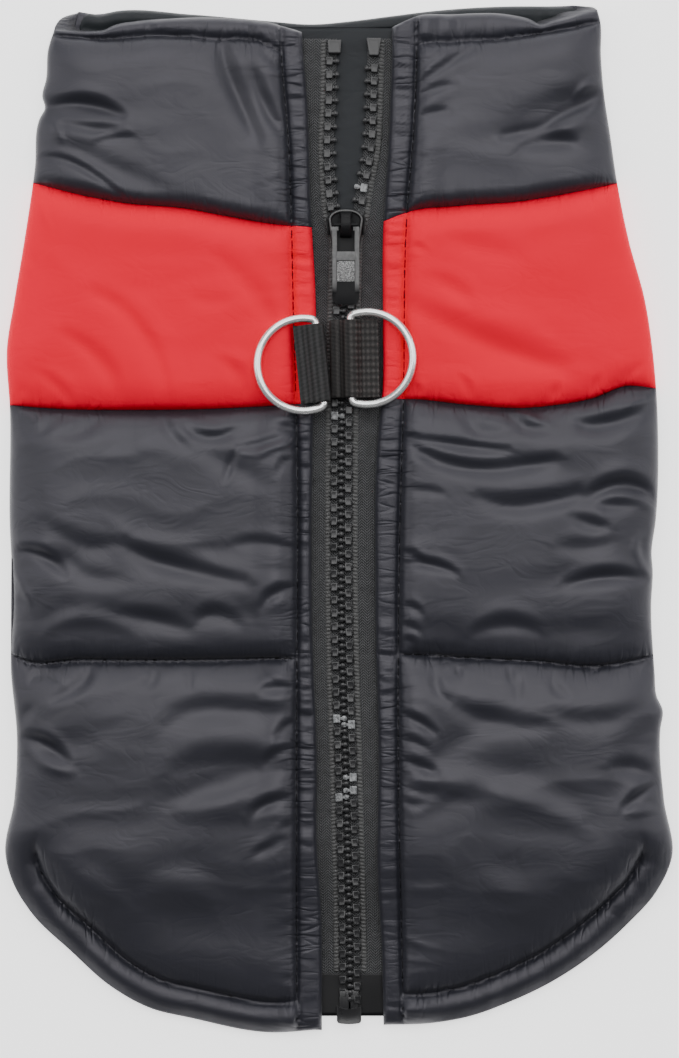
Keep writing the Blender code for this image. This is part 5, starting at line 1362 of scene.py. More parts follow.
def begin_box(name, low, high):
    """A box from corner to corner, in millimetres, as a start for shaping."""
    only()
    low, high = np.array(low) * MM, np.array(high) * MM
    bpy.ops.mesh.primitive_cube_add(size=1.0, location=tuple((low + high) / 2))
    bpy.context.object.scale = tuple(high - low)
    return set_down(name)


@contextmanager
def editing(thing):
    only(thing)
    bpy.ops.object.mode_set(mode="EDIT")
    yield thing
    bpy.ops.object.mode_set(mode="OBJECT")


def pick(thing, kind, test):
    """Selects the faces, edges or vertices that pass a test on their middle (in mm) and normal."""
    bpy.ops.mesh.select_mode(type={"faces": "FACE", "edges": "EDGE", "verts": "VERT"}[kind])
    bpy.ops.mesh.select_all(action="DESELECT")
    work = bmesh.from_edit_mesh(thing.data)
    for item in getattr(work, kind):
        corners = [item.co] if kind == "verts" else [vertex.co for vertex in item.verts]
        middle = sum(corners, Vector()) / len(corners) * PER_MM
        normal = (item.link_faces[0].normal + item.link_faces[-1].normal if kind == "edges"
                  else item.normal)
        item.select_set(bool(test(middle, normal.normalized())))
    work.select_flush_mode()
    bmesh.update_edit_mesh(thing.data)


def resize(thing, *scale):
    """Scales what is selected about its middle."""
    chosen = [vertex.co for vertex in bmesh.from_edit_mesh(thing.data).verts if vertex.select]
    bpy.ops.transform.resize(value=scale, center_override=sum(chosen, Vector()) / len(chosen))


def extrude(by, thing=None, scale=None):
    """Extrudes what is selected by a distance in millimetres, and then scales it about its middle."""
    bpy.ops.mesh.extrude_region_move(TRANSFORM_OT_translate={"value": tuple(np.array(by) * MM)})
    if scale is not None:
        resize(thing, *scale)


def inset(thickness, depth=0.0):
    bpy.ops.mesh.inset(thickness=thickness * MM, depth=depth * MM)


def bevel_chosen(offset, segments):
    bpy.ops.mesh.bevel(offset=offset * MM, segments=segments)


def bisect_all(axis, places):
    """Cuts the whole mesh by planes square to an axis."""
    for place in places:
        bpy.ops.mesh.select_all(action="SELECT")
        point, normal = np.zeros(3), np.zeros(3)
        point[axis], normal[axis] = place * MM, 1.0
        bpy.ops.mesh.bisect(plane_co=tuple(point), plane_no=tuple(normal))


def move(by):
    bpy.ops.transform.translate(value=tuple(np.array(by) * MM))


def round_edges(thing, width, segments=2, angle=35.0):
    """Bevels the sharp edges and smooths the rest."""
    bevel = only(thing).modifiers.new("round", "BEVEL")
    bevel.width, bevel.segments = width * MM, segments
    bevel.limit_method, bevel.angle_limit = "ANGLE", math.radians(angle)
    bpy.ops.object.modifier_apply(modifier=bevel.name)
    bpy.ops.object.shade_smooth_by_angle(angle=math.radians(50.0))


# %% The tooth
FOOT_LENGTH, TOOTH_TOP = 2.15, 1.35
# Places of the teeth that are painted pale grey, a painted glint.
GLINTING_TEETH = {LEFT: (-52.2, -72.7, 26.0), RIGHT: (87.7, -53.5, -67.4, -70.9)}   # places of the pale ones


def make_tooth():
    tooth = begin_box("tooth", (TOOTH_BASE[0], -FOOT_LENGTH / 2, -0.1),
                      (TOOTH_BASE[1], FOOT_LENGTH / 2, TOOTH_TOP))
    with editing(tooth):
        pick(tooth, "faces", lambda at, way: way.x < -0.9)
        extrude((-0.02, 0, 0), tooth, (1.0, 0.36, 0.78))
        extrude((-0.45, 0, 0))
        extrude((-0.25, 0, 0), tooth, (1.0, 1.75, 1.12))
        extrude((-0.65, 0, 0))
        extrude((-0.36, 0, 0), tooth, (1.0, 0.52, 0.8))
        pick(tooth, "faces", lambda at, way: way.z > 0.9 and at.x > TOOTH_BASE[0] + 0.2)
        inset(0.36, -0.14)
        pick(tooth, "faces", lambda at, way: way.x > 0.9)
        move((0, 0, -0.05))
    round_edges(tooth, 0.10, 1)
    return tooth


def unit_shape(thing):
    """Points in millimetres and faces of a piece that is going to be copied many times."""
    points = np.array([tuple(vertex.co * PER_MM) for vertex in thing.data.vertices])
    return points, [tuple(face.vertices) for face in thing.data.polygons]


def tooth_row(side, tooth):
    """One row of copies of the tooth, each turned with its tape and a little out of true."""
    source, faces = unit_shape(tooth)
    smooth = [face.use_smooth for face in tooth.data.polygons]
    random = np.random.default_rng(500 + side)
    places = np.arange(119.4 - (CHAIN_PITCH / 2 if side == RIGHT else 0.0), -126.0, -CHAIN_PITCH)
    points, cells, painted_glint = [], [], []
    for y in places:
        slope = (tooth_tips(side, y + 1.0) - tooth_tips(side, y - 1.0)) / 2.0
        turn = -math.atan(slope) + random.normal(0, 0.012)
        lean_x, lean_y = random.normal(0, 0.035, 2)
        u, v, w = source[:, 0] * side, source[:, 1], source[:, 2]
        w = w + u * lean_x + v * lean_y
        x = tooth_tips(side, y) + u * math.cos(turn) - v * math.sin(turn)
        along = y + u * math.sin(turn) + v * math.cos(turn)
        base = len(points) * len(source)
        points.append(np.column_stack([x, along, tape_top(y) + w]))
        # Teeth near those places get the painted glint.
        nearest = min(abs(y - place) for place in GLINTING_TEETH[side])
        painted_glint.append(np.full(len(source), np.clip(2.2 - nearest, 0.0, 1.0) * random.uniform(0.7, 1.0)))
        cells += [tuple(base + k for k in face) for face in faces]
    row = add_piece(f"zip_teeth_{SIDE_NAMES[side]}_row", np.concatenate(points), cells)
    row.data.polygons.foreach_set("use_smooth", smooth * len(places))
    set_mark(row, "painted_glint", np.concatenate(painted_glint))
    print(row.name, len(places), "teeth of", len(faces), "faces")
    return row


tooth = make_tooth()
for side, word in SIDE_NAMES.items():
    dress(tooth_row(side, tooth), ZIP_PLASTIC, "coat", "zip_plastic", f"zip_teeth_{word}")
bpy.data.objects.remove(tooth, do_unlink=True)

# %% [markdown]
# ### Stops and the bottom box
# A moulded stop ends each row at the neck, so the slider can't leave the tape, and a box at the hem holds
# both rows. Each is a box of the same resin that gets its own outline, a small step and rounded edges.

# %% Top stops
def make_stop(name, low, high, narrow):
    """A stop whose lower edge is narrower by the given share, with a pressed middle."""
    stop = begin_box(name, low, high)
    with editing(stop):
        pick(stop, "verts", lambda at, way: at.y < (low[1] + high[1]) / 2)
        resize(stop, 1 - narrow, 1.0, 1.0)
        pick(stop, "faces", lambda at, way: way.z > 0.9)
        inset(0.55, -0.12)
        inset(0.25)
        pick(stop, "faces", lambda at, way: way.y < -0.9)
        extrude((0, -0.25, 0), stop, (0.8, 1.0, 0.7))
    round_edges(stop, 0.14, 2)
    return stop


STOP_BASE = tape_top(ZIP_ENDS[0]) - 0.1
STOP_HEIGHT = 2.1
STOPS = {"left": ((-2.8, 121.5), (0.7, 124.9), 0.06), "right": ((7.3, 120.9), (11.1, 125.4), 0.34)}
for word, (low, high, narrow) in STOPS.items():
    stop = make_stop(f"top_stop_{word}_block", (*low, STOP_BASE), (*high, STOP_BASE + STOP_HEIGHT), narrow)
    dress(stop, ZIP_PLASTIC, "coat", "zip_plastic", f"top_stop_{word}")

# %% Bottom box, with the two pins that enter it
BOX_LOW, BOX_HIGH = (-0.45, -131.2), (5.95, -126.9)
BOX_BASE = tape_top(ZIP_ENDS[1]) - 0.2
BOX_TOP = tape_top(ZIP_ENDS[1]) + 2.1


def make_bottom_box():
    box = begin_box("bottom_box_block", (*BOX_LOW, BOX_BASE), (*BOX_HIGH, BOX_TOP))
    middle, half = (BOX_LOW[0] + BOX_HIGH[0]) / 2, (BOX_HIGH[0] - BOX_LOW[0]) / 2
    with editing(box):
        shares = (-0.66, -0.33, 0.0, 0.33, 0.66)
        bisect_all(0, [middle + half * share for share in shares])
        for share in shares:
            here = middle + half * share
            pick(box, "verts", lambda at, way: abs(at.x - here) < 0.05 and at.y > BOX_HIGH[1] - 0.1)
            move((0, -0.75 * (1 - share * share), 0))
            pick(box, "verts", lambda at, way: abs(at.x - here) < 0.05 and at.y < BOX_LOW[1] + 0.1)
            move((0, -0.35 * (1 - share * share), 0))
        pick(box, "faces", lambda at, way: way.z > 0.9)
        inset(0.42, -0.16)
        pick(box, "edges", lambda at, way: abs(abs(at.x - middle) - half) < 0.05 and at.y < BOX_LOW[1] + 0.1)
        bevel_chosen(0.7, 4)
    round_edges(box, 0.11, 2, 50.0)
    return box


def make_pins():
    """The bars that end both rows."""
    for number, (x0, x1, top) in enumerate(((0.15, 2.75, 1.15), (3.05, 5.25, 0.85))):
        low = (x0, BOX_HIGH[1] - 1.4, tape_top(ZIP_ENDS[1]) - 0.1)
        pin = begin_box(f"zip_pin_{number}", low, (x1, -122.9, tape_top(ZIP_ENDS[1]) + top))
        with editing(pin):
            pick(pin, "faces", lambda at, way: way.z > 0.9)
            inset(0.35, 0.1)
            pick(pin, "faces", lambda at, way: way.y > 0.9)
            extrude((0, 0.3, 0), pin, (0.8, 1.0, 0.8))
        round_edges(pin, 0.12, 2)
        yield pin


dress(make_bottom_box(), ZIP_PLASTIC, "coat", "zip_plastic", "bottom_box")
for pin in make_pins():
    dress(pin, ZIP_PLASTIC, "coat", "zip_plastic")

# %% [markdown]
# ## The slider
# The slider is a cast body in black enamel. Its upper plate is a shield, round towards the neck, where
# the two rows come in, and narrow where they leave closed. It starts as a box whose corners are bevelled
# wide. The arch that holds the pull tab is a small box whose top face is spun through half a turn.

# %% Enamel with painted highlights
def mark(thing, name, test):
    """Writes a value for each point, given by a test on its place in mm."""
    set_mark(thing, name, [float(test(v.co * PER_MM)) for v in thing.data.vertices])


def enamel_with_painted_highlights():
    """Black enamel with pits on the tab's field; raised frames and pits painted pale grey: a painted
    highlight.
    """
    material, place = finish("slider_enamel_painted_highlights")
    pits = place.noise(PER_MM / 0.30, 2.0, 0.7).spread(-0.9, 1.9)
    spots = (mark_on(place, "field") * pits).clamped()
    # Painted highlight: the raised frames and the field's pits are painted pale grey.
    frame_highlight = (mark_on(place, "frame") * place.noise(PER_MM / 1.3, 3.0, 0.6).spread(0.35, 1.0)).clamped()
    pale = spots.math("MAXIMUM", spots, frame_highlight * 0.5)
    height = spots * 4.0 + place.effect(MOULDED_GRAIN, Size=0.5)["Height"]
    return set_shader(material, Base_Color=pale.blend((0.006, 0.006, 0.007), (0.42, 0.42, 0.42)),
                      Roughness=0.52, Specular_IOR_Level=0.22, Normal=height.bump(0.02, 0.8))


ENAMEL_WITH_PAINTED_HIGHLIGHTS = enamel_with_painted_highlights()

# %% The plates
SLIDER_X, SLIDER_HALF, SLIDER_LOW_HALF = 1.9, 5.25, 3.3
SLIDER_Y = (68.9, 77.4, 80.9)         # narrow end, shoulders, top of the half round
PLATE_BASE = BELLY_TOP + LAYER_CLEAR + TAPE_LIFT + TAPE_WALL + SEAM_GAP + CHAIN_HEIGHT + SEAM_GAP
PLATE_WALL = 0.9
LOWER_PLATE_TOP = BELLY_TOP + LAYER_CLEAR + TAPE_LIFT - SEAM_GAP


def shield_plate(name, base, wall, raised):
    """A shield from a box: its upper corners are bevelled to a half round, its lower end is drawn in."""
    low_y, shoulder, top = SLIDER_Y
    plate = begin_box(name, (SLIDER_X - SLIDER_HALF, low_y, base),
                      (SLIDER_X + SLIDER_HALF, shoulder + SLIDER_HALF, base + wall))
    with editing(plate):
        pick(plate, "verts", lambda at, way: at.y < low_y + 0.1)
        resize(plate, SLIDER_LOW_HALF / SLIDER_HALF, 1, 1)
        pick(plate, "edges", lambda at, way: abs(at.z - base - wall / 2) < 0.05 and at.y > shoulder)
        bevel_chosen(SLIDER_HALF - 0.25, 14)
        pick(plate, "edges", lambda at, way: abs(at.z - base - wall / 2) < 0.05 and at.y < low_y + 0.1)
        bevel_chosen(1.1, 5)
        pick(plate, "verts", lambda at, way: at.y > shoulder + 0.05)
        bpy.ops.transform.resize(value=(1, (top - shoulder) / SLIDER_HALF, 1),
                                 center_override=(0, shoulder * MM, 0))
        if raised:
            pick(plate, "faces", lambda at, way: way.z > 0.9)
            for thickness, depth in ((0.40, 0.22), (0.22, 0.0), (0.3, -0.50)):
                inset(thickness, depth)
    round_edges(plate, 0.14, 2)
    # The plate's raised frame is marked for the painted highlight of the enamel.
    mark(plate, "frame", lambda at: 0.9 * (raised and at.z > base + wall + 0.1))
    return plate


upper_plate = shield_plate("zip_slider_plate", PLATE_BASE, PLATE_WALL, True)
lower_plate = shield_plate("zip_slider_under", LOWER_PLATE_TOP - 0.5, 0.5, False)

# %% Wedge, side flanges and the arch
ARCH_MIDDLE_Y, ARCH_RADIUS, ARCH_STEPS = 76.8, 2.95, 12
ARCH_WALL, ARCH_WIDTH, ARCH_FOOT = 0.9, 3.0, 0.25


def make_arch():
    """A strap bent over the plate: its foot is a box, its bow a spin and its other leg an extrusion."""
    top = PLATE_BASE + PLATE_WALL
    outside, half, wall = ARCH_MIDDLE_Y - ARCH_RADIUS, ARCH_WIDTH / 2, ARCH_WALL / 2
    arch = begin_box("zip_slider_arch", (SLIDER_X - half, outside - wall, top - 0.3),
                     (SLIDER_X + half, outside + wall, top + ARCH_FOOT))
    with editing(arch):
        pick(arch, "faces", lambda at, way: way.z > 0.9)
        bpy.ops.mesh.spin(steps=ARCH_STEPS, angle=math.pi, axis=(1, 0, 0),
                          center=(SLIDER_X * MM, ARCH_MIDDLE_Y * MM, (top + ARCH_FOOT) * MM))
        extrude((0, 0, -ARCH_FOOT - 0.3))
        bpy.ops.mesh.select_all(action="SELECT")
        bpy.ops.mesh.remove_doubles(threshold=0.02 * MM)
        bpy.ops.mesh.normals_make_consistent(inside=False)
        pick(arch, "verts", lambda at, way: at.z > top + 2.4)
        resize(arch, 0.86, 1.0, 1.0)
    round_edges(arch, 0.2, 3)
    return arch


def make_inner_parts():
    """The wedge between the rows, and the flanges that guide them at the sides."""
    wedge = begin_box("zip_slider_wedge", (SLIDER_X - 0.9, 78.2, LOWER_PLATE_TOP - 0.2),
                      (SLIDER_X + 0.9, 80.7, PLATE_BASE + 0.2))
    with editing(wedge):
        pick(wedge, "verts", lambda at, way: at.y < 79.0)
        resize(wedge, 0.25, 1.0, 1.0)
    round_edges(wedge, 0.2, 3)
    yield wedge
    for way_out, word in SIDE_NAMES.items():
        x0, x1 = sorted((SLIDER_X + way_out * 4.7, SLIDER_X + way_out * 5.2))
        low = (x0, 74.2, LOWER_PLATE_TOP + TAPE_WALL + 2 * SEAM_GAP)
        flange = begin_box(f"zip_slider_flange_{word}", low, (x1, 78.6, PLATE_BASE + 0.2))
        with editing(flange):
            pick(flange, "verts", lambda at, way: at.y < 75.0)
            move((-way_out * 0.45, 0, 0))
        round_edges(flange, 0.15, 2)
        yield flange


dress(upper_plate, ENAMEL_WITH_PAINTED_HIGHLIGHTS, "coat", "slider_enamel", "zip_slider")
for part in (lower_plate, make_arch(), *make_inner_parts()):
    dress(part, ENAMEL_WITH_PAINTED_HIGHLIGHTS, "coat", "slider_enamel")

# %% [markdown]
# ## The pull tab
# The tab is a cast fork: two arms go round a pin under the arch, and a grip with a stippled field lies
# between two raised rails. It is modelled level with its hinge at the origin and only then tilted and
# set on its pin, so its sizes are easy to read.

# %% Fork, rails and stippled field
PULL_PIN, PULL_TILT = (1.9, 76.6, 9.0), 4.0
PULL_HALF, PULL_ARM, PULL_WALL = 3.5, 1.2, 1.15
PULL_WINDOW_END, RAIL_END, PULL_END = -7.9, -17.6, -20.6
FIELD = (2.45, -9.2, -14.9)           # half width, top and bottom of the stippled field


def make_fork():
    low = (-PULL_HALF, PULL_END, -PULL_WALL / 2)
    fork = begin_box("zip_pull_fork", low, (PULL_HALF, PULL_WINDOW_END, PULL_WALL / 2))
    inner = PULL_HALF - PULL_ARM
    with editing(fork):
        bisect_all(0, (-inner, -FIELD[0], FIELD[0], inner))
        bisect_all(1, (FIELD[1], FIELD[2], RAIL_END))
        pick(fork, "faces", lambda at, way: way.y > 0.9 and abs(at.x) > inner)
        extrude((0, 6.4, 0))
        for side in SIDE_NAMES:
            pick(fork, "faces", lambda at, way: way.y > 0.9 and at.x * side > 0)
            extrude((0, 1.0, 0))
            pick(fork, "faces", lambda at, way: way.x * side < -0.9 and at.y > -1.6)
            extrude((-side * 0.4, 0, 0))
        # rails: what lies outside the field, from the bar down
        pick(fork, "faces", lambda at, way: way.z > 0.9 and abs(at.x) > FIELD[0] and at.y > RAIL_END)
        extrude((0, 0, 0.32))
        pick(fork, "faces", lambda at, way: way.z > 0.9 and abs(at.x) < FIELD[0] and at.y > FIELD[1])
        extrude((0, 0, 0.26))
        pick(fork, "faces",
             lambda at, way: way.z > 0.9 and abs(at.x) < FIELD[0] and FIELD[2] < at.y < FIELD[1])
        inset(0.22)
        extrude((0, 0, 0.2))
        # the end of the grip is drawn round and a little thinner
        pick(fork, "edges", lambda at, way: abs(abs(at.x) - PULL_HALF) < 0.05 and at.y < PULL_END + 0.05)
        bevel_chosen(2.3, 6)
    round_edges(fork, 0.13, 2, 40.0)
    return fork


def make_pin():
    only()
    bpy.ops.mesh.primitive_cylinder_add(vertices=20, radius=0.5 * MM, depth=(2 * PULL_HALF - 0.8) * MM,
                                        rotation=(0, math.pi / 2, 0))
    pin = set_down("zip_pull_pin")
    with editing(pin):
        pick(pin, "faces", lambda at, way: abs(way.x) > 0.9)
        inset(0.12, 0.1)
    round_edges(pin, 0.06, 1)
    return pin


def place_piece(thing, place, turn):
    """Moves a finished piece to its place in millimetres and turns it, within its mesh."""
    only(thing).location = tuple(np.array(place) * MM)
    thing.rotation_euler = turn
    return set_down(thing=thing)


fork, pin = make_fork(), make_pin()
top = PULL_WALL / 2
# The stippled field and the raised frame are marked for the painted highlight of the enamel; the field's pits
# are a bump too.
mark(fork, "field", lambda at: abs(at.x) < FIELD[0] - 0.1 and FIELD[2] < at.y < FIELD[1] and at.z > top + 0.1)
mark(fork, "frame", lambda at: at.z > top - 0.05 and at.y > FIELD[2] - 1.5
     and (abs(at.x) > FIELD[0] - 0.05 or at.y > FIELD[1] - 0.05))
dress(fork, ENAMEL_WITH_PAINTED_HIGHLIGHTS, "pull", "slider_enamel", "zip_pull")
dress(pin, ENAMEL_WITH_PAINTED_HIGHLIGHTS, "pull", "slider_enamel")
for part in (fork, pin):
    place_piece(part, PULL_PIN, (math.radians(PULL_TILT), 0, 0))
print("tab:", len(fork.data.polygons), "faces; slider plate:", len(upper_plate.data.polygons))

# %% [markdown]
# ## The webbing loops
# Each ring is held by a strip of webbing, folded round its bar and sewn down beside the zip. The left
# one shows ribs and the right one small raised knots, so they are two cloths. A strip is a path seen
# from its edge, swept along the bar. A value on its points marks its raised ribs and knots, which are
# painted lighter as a painted highlight.

# %% Where the rings lie, and the paths of the strips
RINGS = {                   # place of the bar, turn and tilt in degrees, side that the bow points to
    "left": ((-4.9, 40.7, 10.7), 5.8, 5.5, LEFT),
    "right": ((3.3, 41.9, 8.7), 1.1, 10.0, RIGHT),
}
WIRE_RADIUS = 1.0
WEBBING_WALL, WEBBING_HALF = 0.8, 10.15
STRIP_STEP = 0.3


def bow(centre, radius, start, end, steps):
    angles = np.radians(np.linspace(start, end, steps + 1))
    return [(centre[0] + radius * math.cos(a), centre[1] + radius * math.sin(a)) for a in angles]


LOOP_RADIUS = WIRE_RADIUS + SEAM_GAP + WEBBING_WALL / 2
STRIP_PATHS = {             # away from the bar and up from it
    "left": [(5.9, -1.1), (3.4, -1.15), (1.95, -1.2)] + bow((0, 0), LOOP_RADIUS, -55, -270, 12)
            + [(1.7, 1.3), (3.4, 0.3), (5.9, 0.0)],
    "right": [(7.2, -1.75), (3.0, -1.75), (-4.6, -1.75)] + bow((-4.6, -1.2), 0.55, -120, -240, 5)
             + [(-4.4, -0.65), (-2.6, -0.5), (-1.9, 0.35)] + bow((0, 0), LOOP_RADIUS, 150, 30, 8)
             + [(1.9, 0.35), (2.8, -0.5), (4.4, -0.65), (7.2, -0.65)],
}


def on_bar(u, v, w, ring):
    """Local places (away from the bar, along it, up) to the coat's own frame."""
    (x, y, z), turn, _, way = RINGS[ring]
    turn, u = math.radians(turn), u * way
    return np.stack([x + u * math.cos(turn) - v * math.sin(turn),
                     y + u * math.sin(turn) + v * math.cos(turn), w + z], axis=-1)


def webbing_strip(word):
    path = np.array(STRIP_PATHS[word], dtype=float)
    length = lengths_along(path)[-1]
    line = walk(path, np.linspace(0, 1, int(length / STRIP_STEP)))
    line[1:-1] = (line[:-2] + 2 * line[1:-1] + line[2:]) / 4
    run = np.gradient(line, axis=0)
    run /= np.linalg.norm(run, axis=1)[:, None]
    out = pair(-run[:, 1], run[:, 0])
    v = np.linspace(-WEBBING_HALF, WEBBING_HALF, int(2 * WEBBING_HALF / STRIP_STEP))
    along = lengths_along(line)[:, None] + 0 * v
    across = 0 * along + v
    border = np.minimum(WEBBING_HALF - np.abs(v), np.full_like(v, 1.0))
    stripes = np.sin(2 * math.pi * along / 1.55) + 0.5 * np.sin(2 * math.pi * (across + 0.3 * along) / 1.1)
    knots = np.sin(math.pi * (along / 1.3 + across / 1.7)) * np.sin(math.pi * (along / 1.3 - across / 1.7))
    coarse = smooth_step(line[:, :1] / 1.5 + 0.5) * (word == "right")
    ribs = 0.07 * stripes * (1 - coarse) + 0.24 * np.clip(knots, -0.2, 1) * coarse
    half = WEBBING_WALL / 2 * (0.55 + 0.45 * np.sqrt(border))[None, :]
    sides = []
    for way in (1, -1):
        u = line[:, :1] + way * out[:, :1] * (half + ribs * (way > 0))
        w = line[:, 1:] + way * out[:, 1:] * (half + ribs * (way > 0))
        sides.append(on_bar(u, across, w, word).reshape(-1, 3))
    strip = thick_sheet(f"webbing_loop_{word}_strip", grid_cells(*along.shape), *sides)
    # how raised each point is; the webbing's colour is painted lighter there as a painted highlight
    set_mark(strip, "raised", np.tile(np.clip(ribs * 4.5 + 0.35, 0, 1).ravel(), 2))
    return strip


# %% The webbing's two faces
def webbing(name, dark, light):
    material, place = finish(name)
    fibres = place.noise(PER_MM / 0.3, 2.0, 0.7)
    # Painted highlight: the raised ribs and knots are painted lighter.
    shade = mark_on(place, "raised") * place.noise(PER_MM / 4.0, 3.0, 0.6).spread(0.4, 1.3)
    shade = (shade * fibres.spread(0.1, 1.7)).clamped()
    return set_shader(material, Base_Color=shade.blend(dark, light), Roughness=0.6,
                      Specular_IOR_Level=0.3, Normal=fibres.bump(0.12, 0.8))


STRIP_CLOTHS = {"left": webbing("webbing_ribbed", (0.007, 0.007, 0.0075), (0.052, 0.052, 0.053)),
                "right": webbing("webbing_knotted", (0.006, 0.0055, 0.0055), (0.060, 0.054, 0.052))}
for word, cloth in STRIP_CLOTHS.items():
    strip = dress(webbing_strip(word), cloth, "coat", "webbing", f"webbing_loop_{word}")
    print(strip.name, len(strip.data.polygons), "faces")

# %% [markdown]
# ## The rings
# A D-ring is one wire: a wide bow, two tight corners and a straight bar. It starts as a torus. The part
# behind the bar is deleted, its open ends are spun round the corners, and a bridge between them is the
# bar. The second ring is a copy with its own mesh.

# %% Bend a ring
BOW_MIDDLE, BOW_RADIUS, BOW_END = 4.2, 12.0, 105.0
BOW_COS, BOW_SIN = math.cos(math.radians(BOW_END)), math.sin(math.radians(BOW_END))
CORNER = (BOW_MIDDLE + BOW_RADIUS * BOW_COS) / (1 + BOW_COS)     # radius of the tight corners
CORNER_Y = (BOW_RADIUS - CORNER) * BOW_SIN


def bow_angle(at):
    return math.degrees(math.atan2(at.y, at.x - BOW_MIDDLE))


def make_ring():
    only()
    bpy.ops.mesh.primitive_torus_add(location=(BOW_MIDDLE * MM, 0, 0), major_radius=BOW_RADIUS * MM,
                                     minor_radius=WIRE_RADIUS * MM, major_segments=96, minor_segments=18)
    ring = set_down("d_ring_wire")
    with editing(ring):
        pick(ring, "verts", lambda at, way: abs(bow_angle(at)) > BOW_END + 1.0)
        bpy.ops.mesh.delete(type="VERT")
        for side in SIDE_NAMES:
            pick(ring, "verts", lambda at, way: side * bow_angle(at) > BOW_END - 1.0)
            bpy.ops.mesh.select_mode(type="EDGE")
            bpy.ops.mesh.spin(steps=8, angle=math.radians(180.0 - BOW_END), axis=(0, 0, -side),
                              center=(CORNER * MM, side * CORNER_Y * MM, 0))
        pick(ring, "verts",
             lambda at, way: abs(at.x) < WIRE_RADIUS + 0.01 and abs(abs(at.y) - CORNER_Y) < 0.02)
        bpy.ops.mesh.select_mode(type="EDGE")
        bpy.ops.mesh.bridge_edge_loops(number_cuts=12)
        bpy.ops.mesh.select_all(action="SELECT")
        bpy.ops.mesh.remove_doubles(threshold=0.01 * MM)
        bpy.ops.mesh.normals_make_consistent(inside=False)
    bpy.ops.object.shade_smooth()
    return ring


def lay_ring(ring, word):
    """Sets a ring on its strip: tilted off the cloth, turned, and moved to its bar."""
    place, turn, tilt, way = RINGS[word]
    ring.name = f"d_ring_{word}_wire"
    around = math.radians(turn) + (math.pi if way < 0 else 0.0)
    return place_piece(ring, place, (0, -math.radians(tilt), around))


def bright_nickel():
    """Plated wire: nearly white, with a fine drawn grain and faint scuffs that soften the shine."""
    material, place = finish("nickel_wire")
    scuffs = place.noise(PER_MM / 2.2, 4.0, 0.65)
    return set_shader(material, Base_Color=scuffs.blend((0.96, 0.96, 0.95), (1.0, 1.0, 1.0)),
                      Roughness=scuffs.spread(0.18, 0.32), Metallic=0.78,
                      Normal=place.noise(PER_MM / 0.3, 2.0, 0.5).bump(0.01, 0.4))


NICKEL = bright_nickel()
first_ring = make_ring()
second_ring = first_ring.copy()
second_ring.data = first_ring.data.copy()
bpy.context.scene.collection.objects.link(second_ring)
for ring, word in ((first_ring, "left"), (second_ring, "right")):
    dress(lay_ring(ring, word), NICKEL, f"ring_{word}", "nickel", f"d_ring_{word}")
print("ring:", len(first_ring.data.polygons), "faces; corner radius", round(CORNER, 2), "mm")

# %% [markdown]
# ## Sewing
# Every sewn line shows a row of small sunk stitches in black thread. One stitch is modelled as a short
# capsule, and the rows are joined copies of it, laid at the height of the cloth and turned along its line.

# %% One stitch
STITCH_LENGTH, STITCH_GAP = 2.1, 0.55
THREAD_RADIUS, THREAD_SUNK = 0.20, 0.02


def make_stitch():
    """A capsule along X: a short cylinder whose ends are drawn in."""
    only()
    bpy.ops.mesh.primitive_cylinder_add(vertices=6, radius=THREAD_RADIUS * MM, depth=STITCH_LENGTH * MM,
                                        rotation=(0, math.pi / 2, 0), end_fill_type="NGON")
    stitch = set_down("stitch")
    with editing(stitch):
        for side in SIDE_NAMES:
            pick(stitch, "faces", lambda at, way: way.x * side > 0.9)
            bevel_chosen(0.12, 1)
        pick(stitch, "edges", lambda at, way: abs(at.x) < 0.1)
        bpy.ops.mesh.subdivide(number_cuts=1)
        pick(stitch, "verts", lambda at, way: abs(at.x) < 0.1)
        move((0, 0, 0.10))
    return stitch


def stitch_row(name, line, material):
    """Joined copies of the stitch along a line of points that lie on the cloth."""
    length = lengths_along(line)
    middles = np.arange(STITCH_LENGTH / 2 + 0.4, length[-1] - STITCH_LENGTH / 2, STITCH_LENGTH + STITCH_GAP)
    stitch = make_stitch()
    base, shape = unit_shape(stitch)
    bpy.data.objects.remove(stitch, do_unlink=True)
    points, faces = [], []
    for number, at in enumerate(middles):
        ends = np.array([[np.interp(at + shift, length, column) for column in line.T]
                         for shift in (-STITCH_LENGTH / 2, 0.0, STITCH_LENGTH / 2)])
        run = (ends[2] - ends[0]) / np.linalg.norm(ends[2] - ends[0])
        side = np.cross((0, 0, 1), run)
        side /= np.linalg.norm(side)
        up = np.cross(run, side)
        sway = 0.10 * math.sin(number * 2.4)
        middle = ends.mean(axis=0) + up * (THREAD_RADIUS - THREAD_SUNK) + side * sway
        points.append(middle + base[:, :1] * run + base[:, 1:2] * side + base[:, 2:] * up)
        faces += [tuple(k + number * len(base) for k in face) for face in shape]
    return dress(add_piece(name, np.concatenate(points), faces), material, "coat", "black_nylon")


def sewing_thread():
    """Black spun thread: matt, with its twist as slanting ridges."""
    material, place = finish("sewing_thread")
    twist = place.effect(TWILL_RIBS, Pitch=0.35, Slant=1.0)
    colour = twist["Threads"].blend((0.004, 0.004, 0.005), (0.018, 0.018, 0.020))
    return set_shader(material, Base_Color=colour, Roughness=0.8, Specular_IOR_Level=0.15,
                      Normal=twist["Height"].bump(0.03, 0.6))


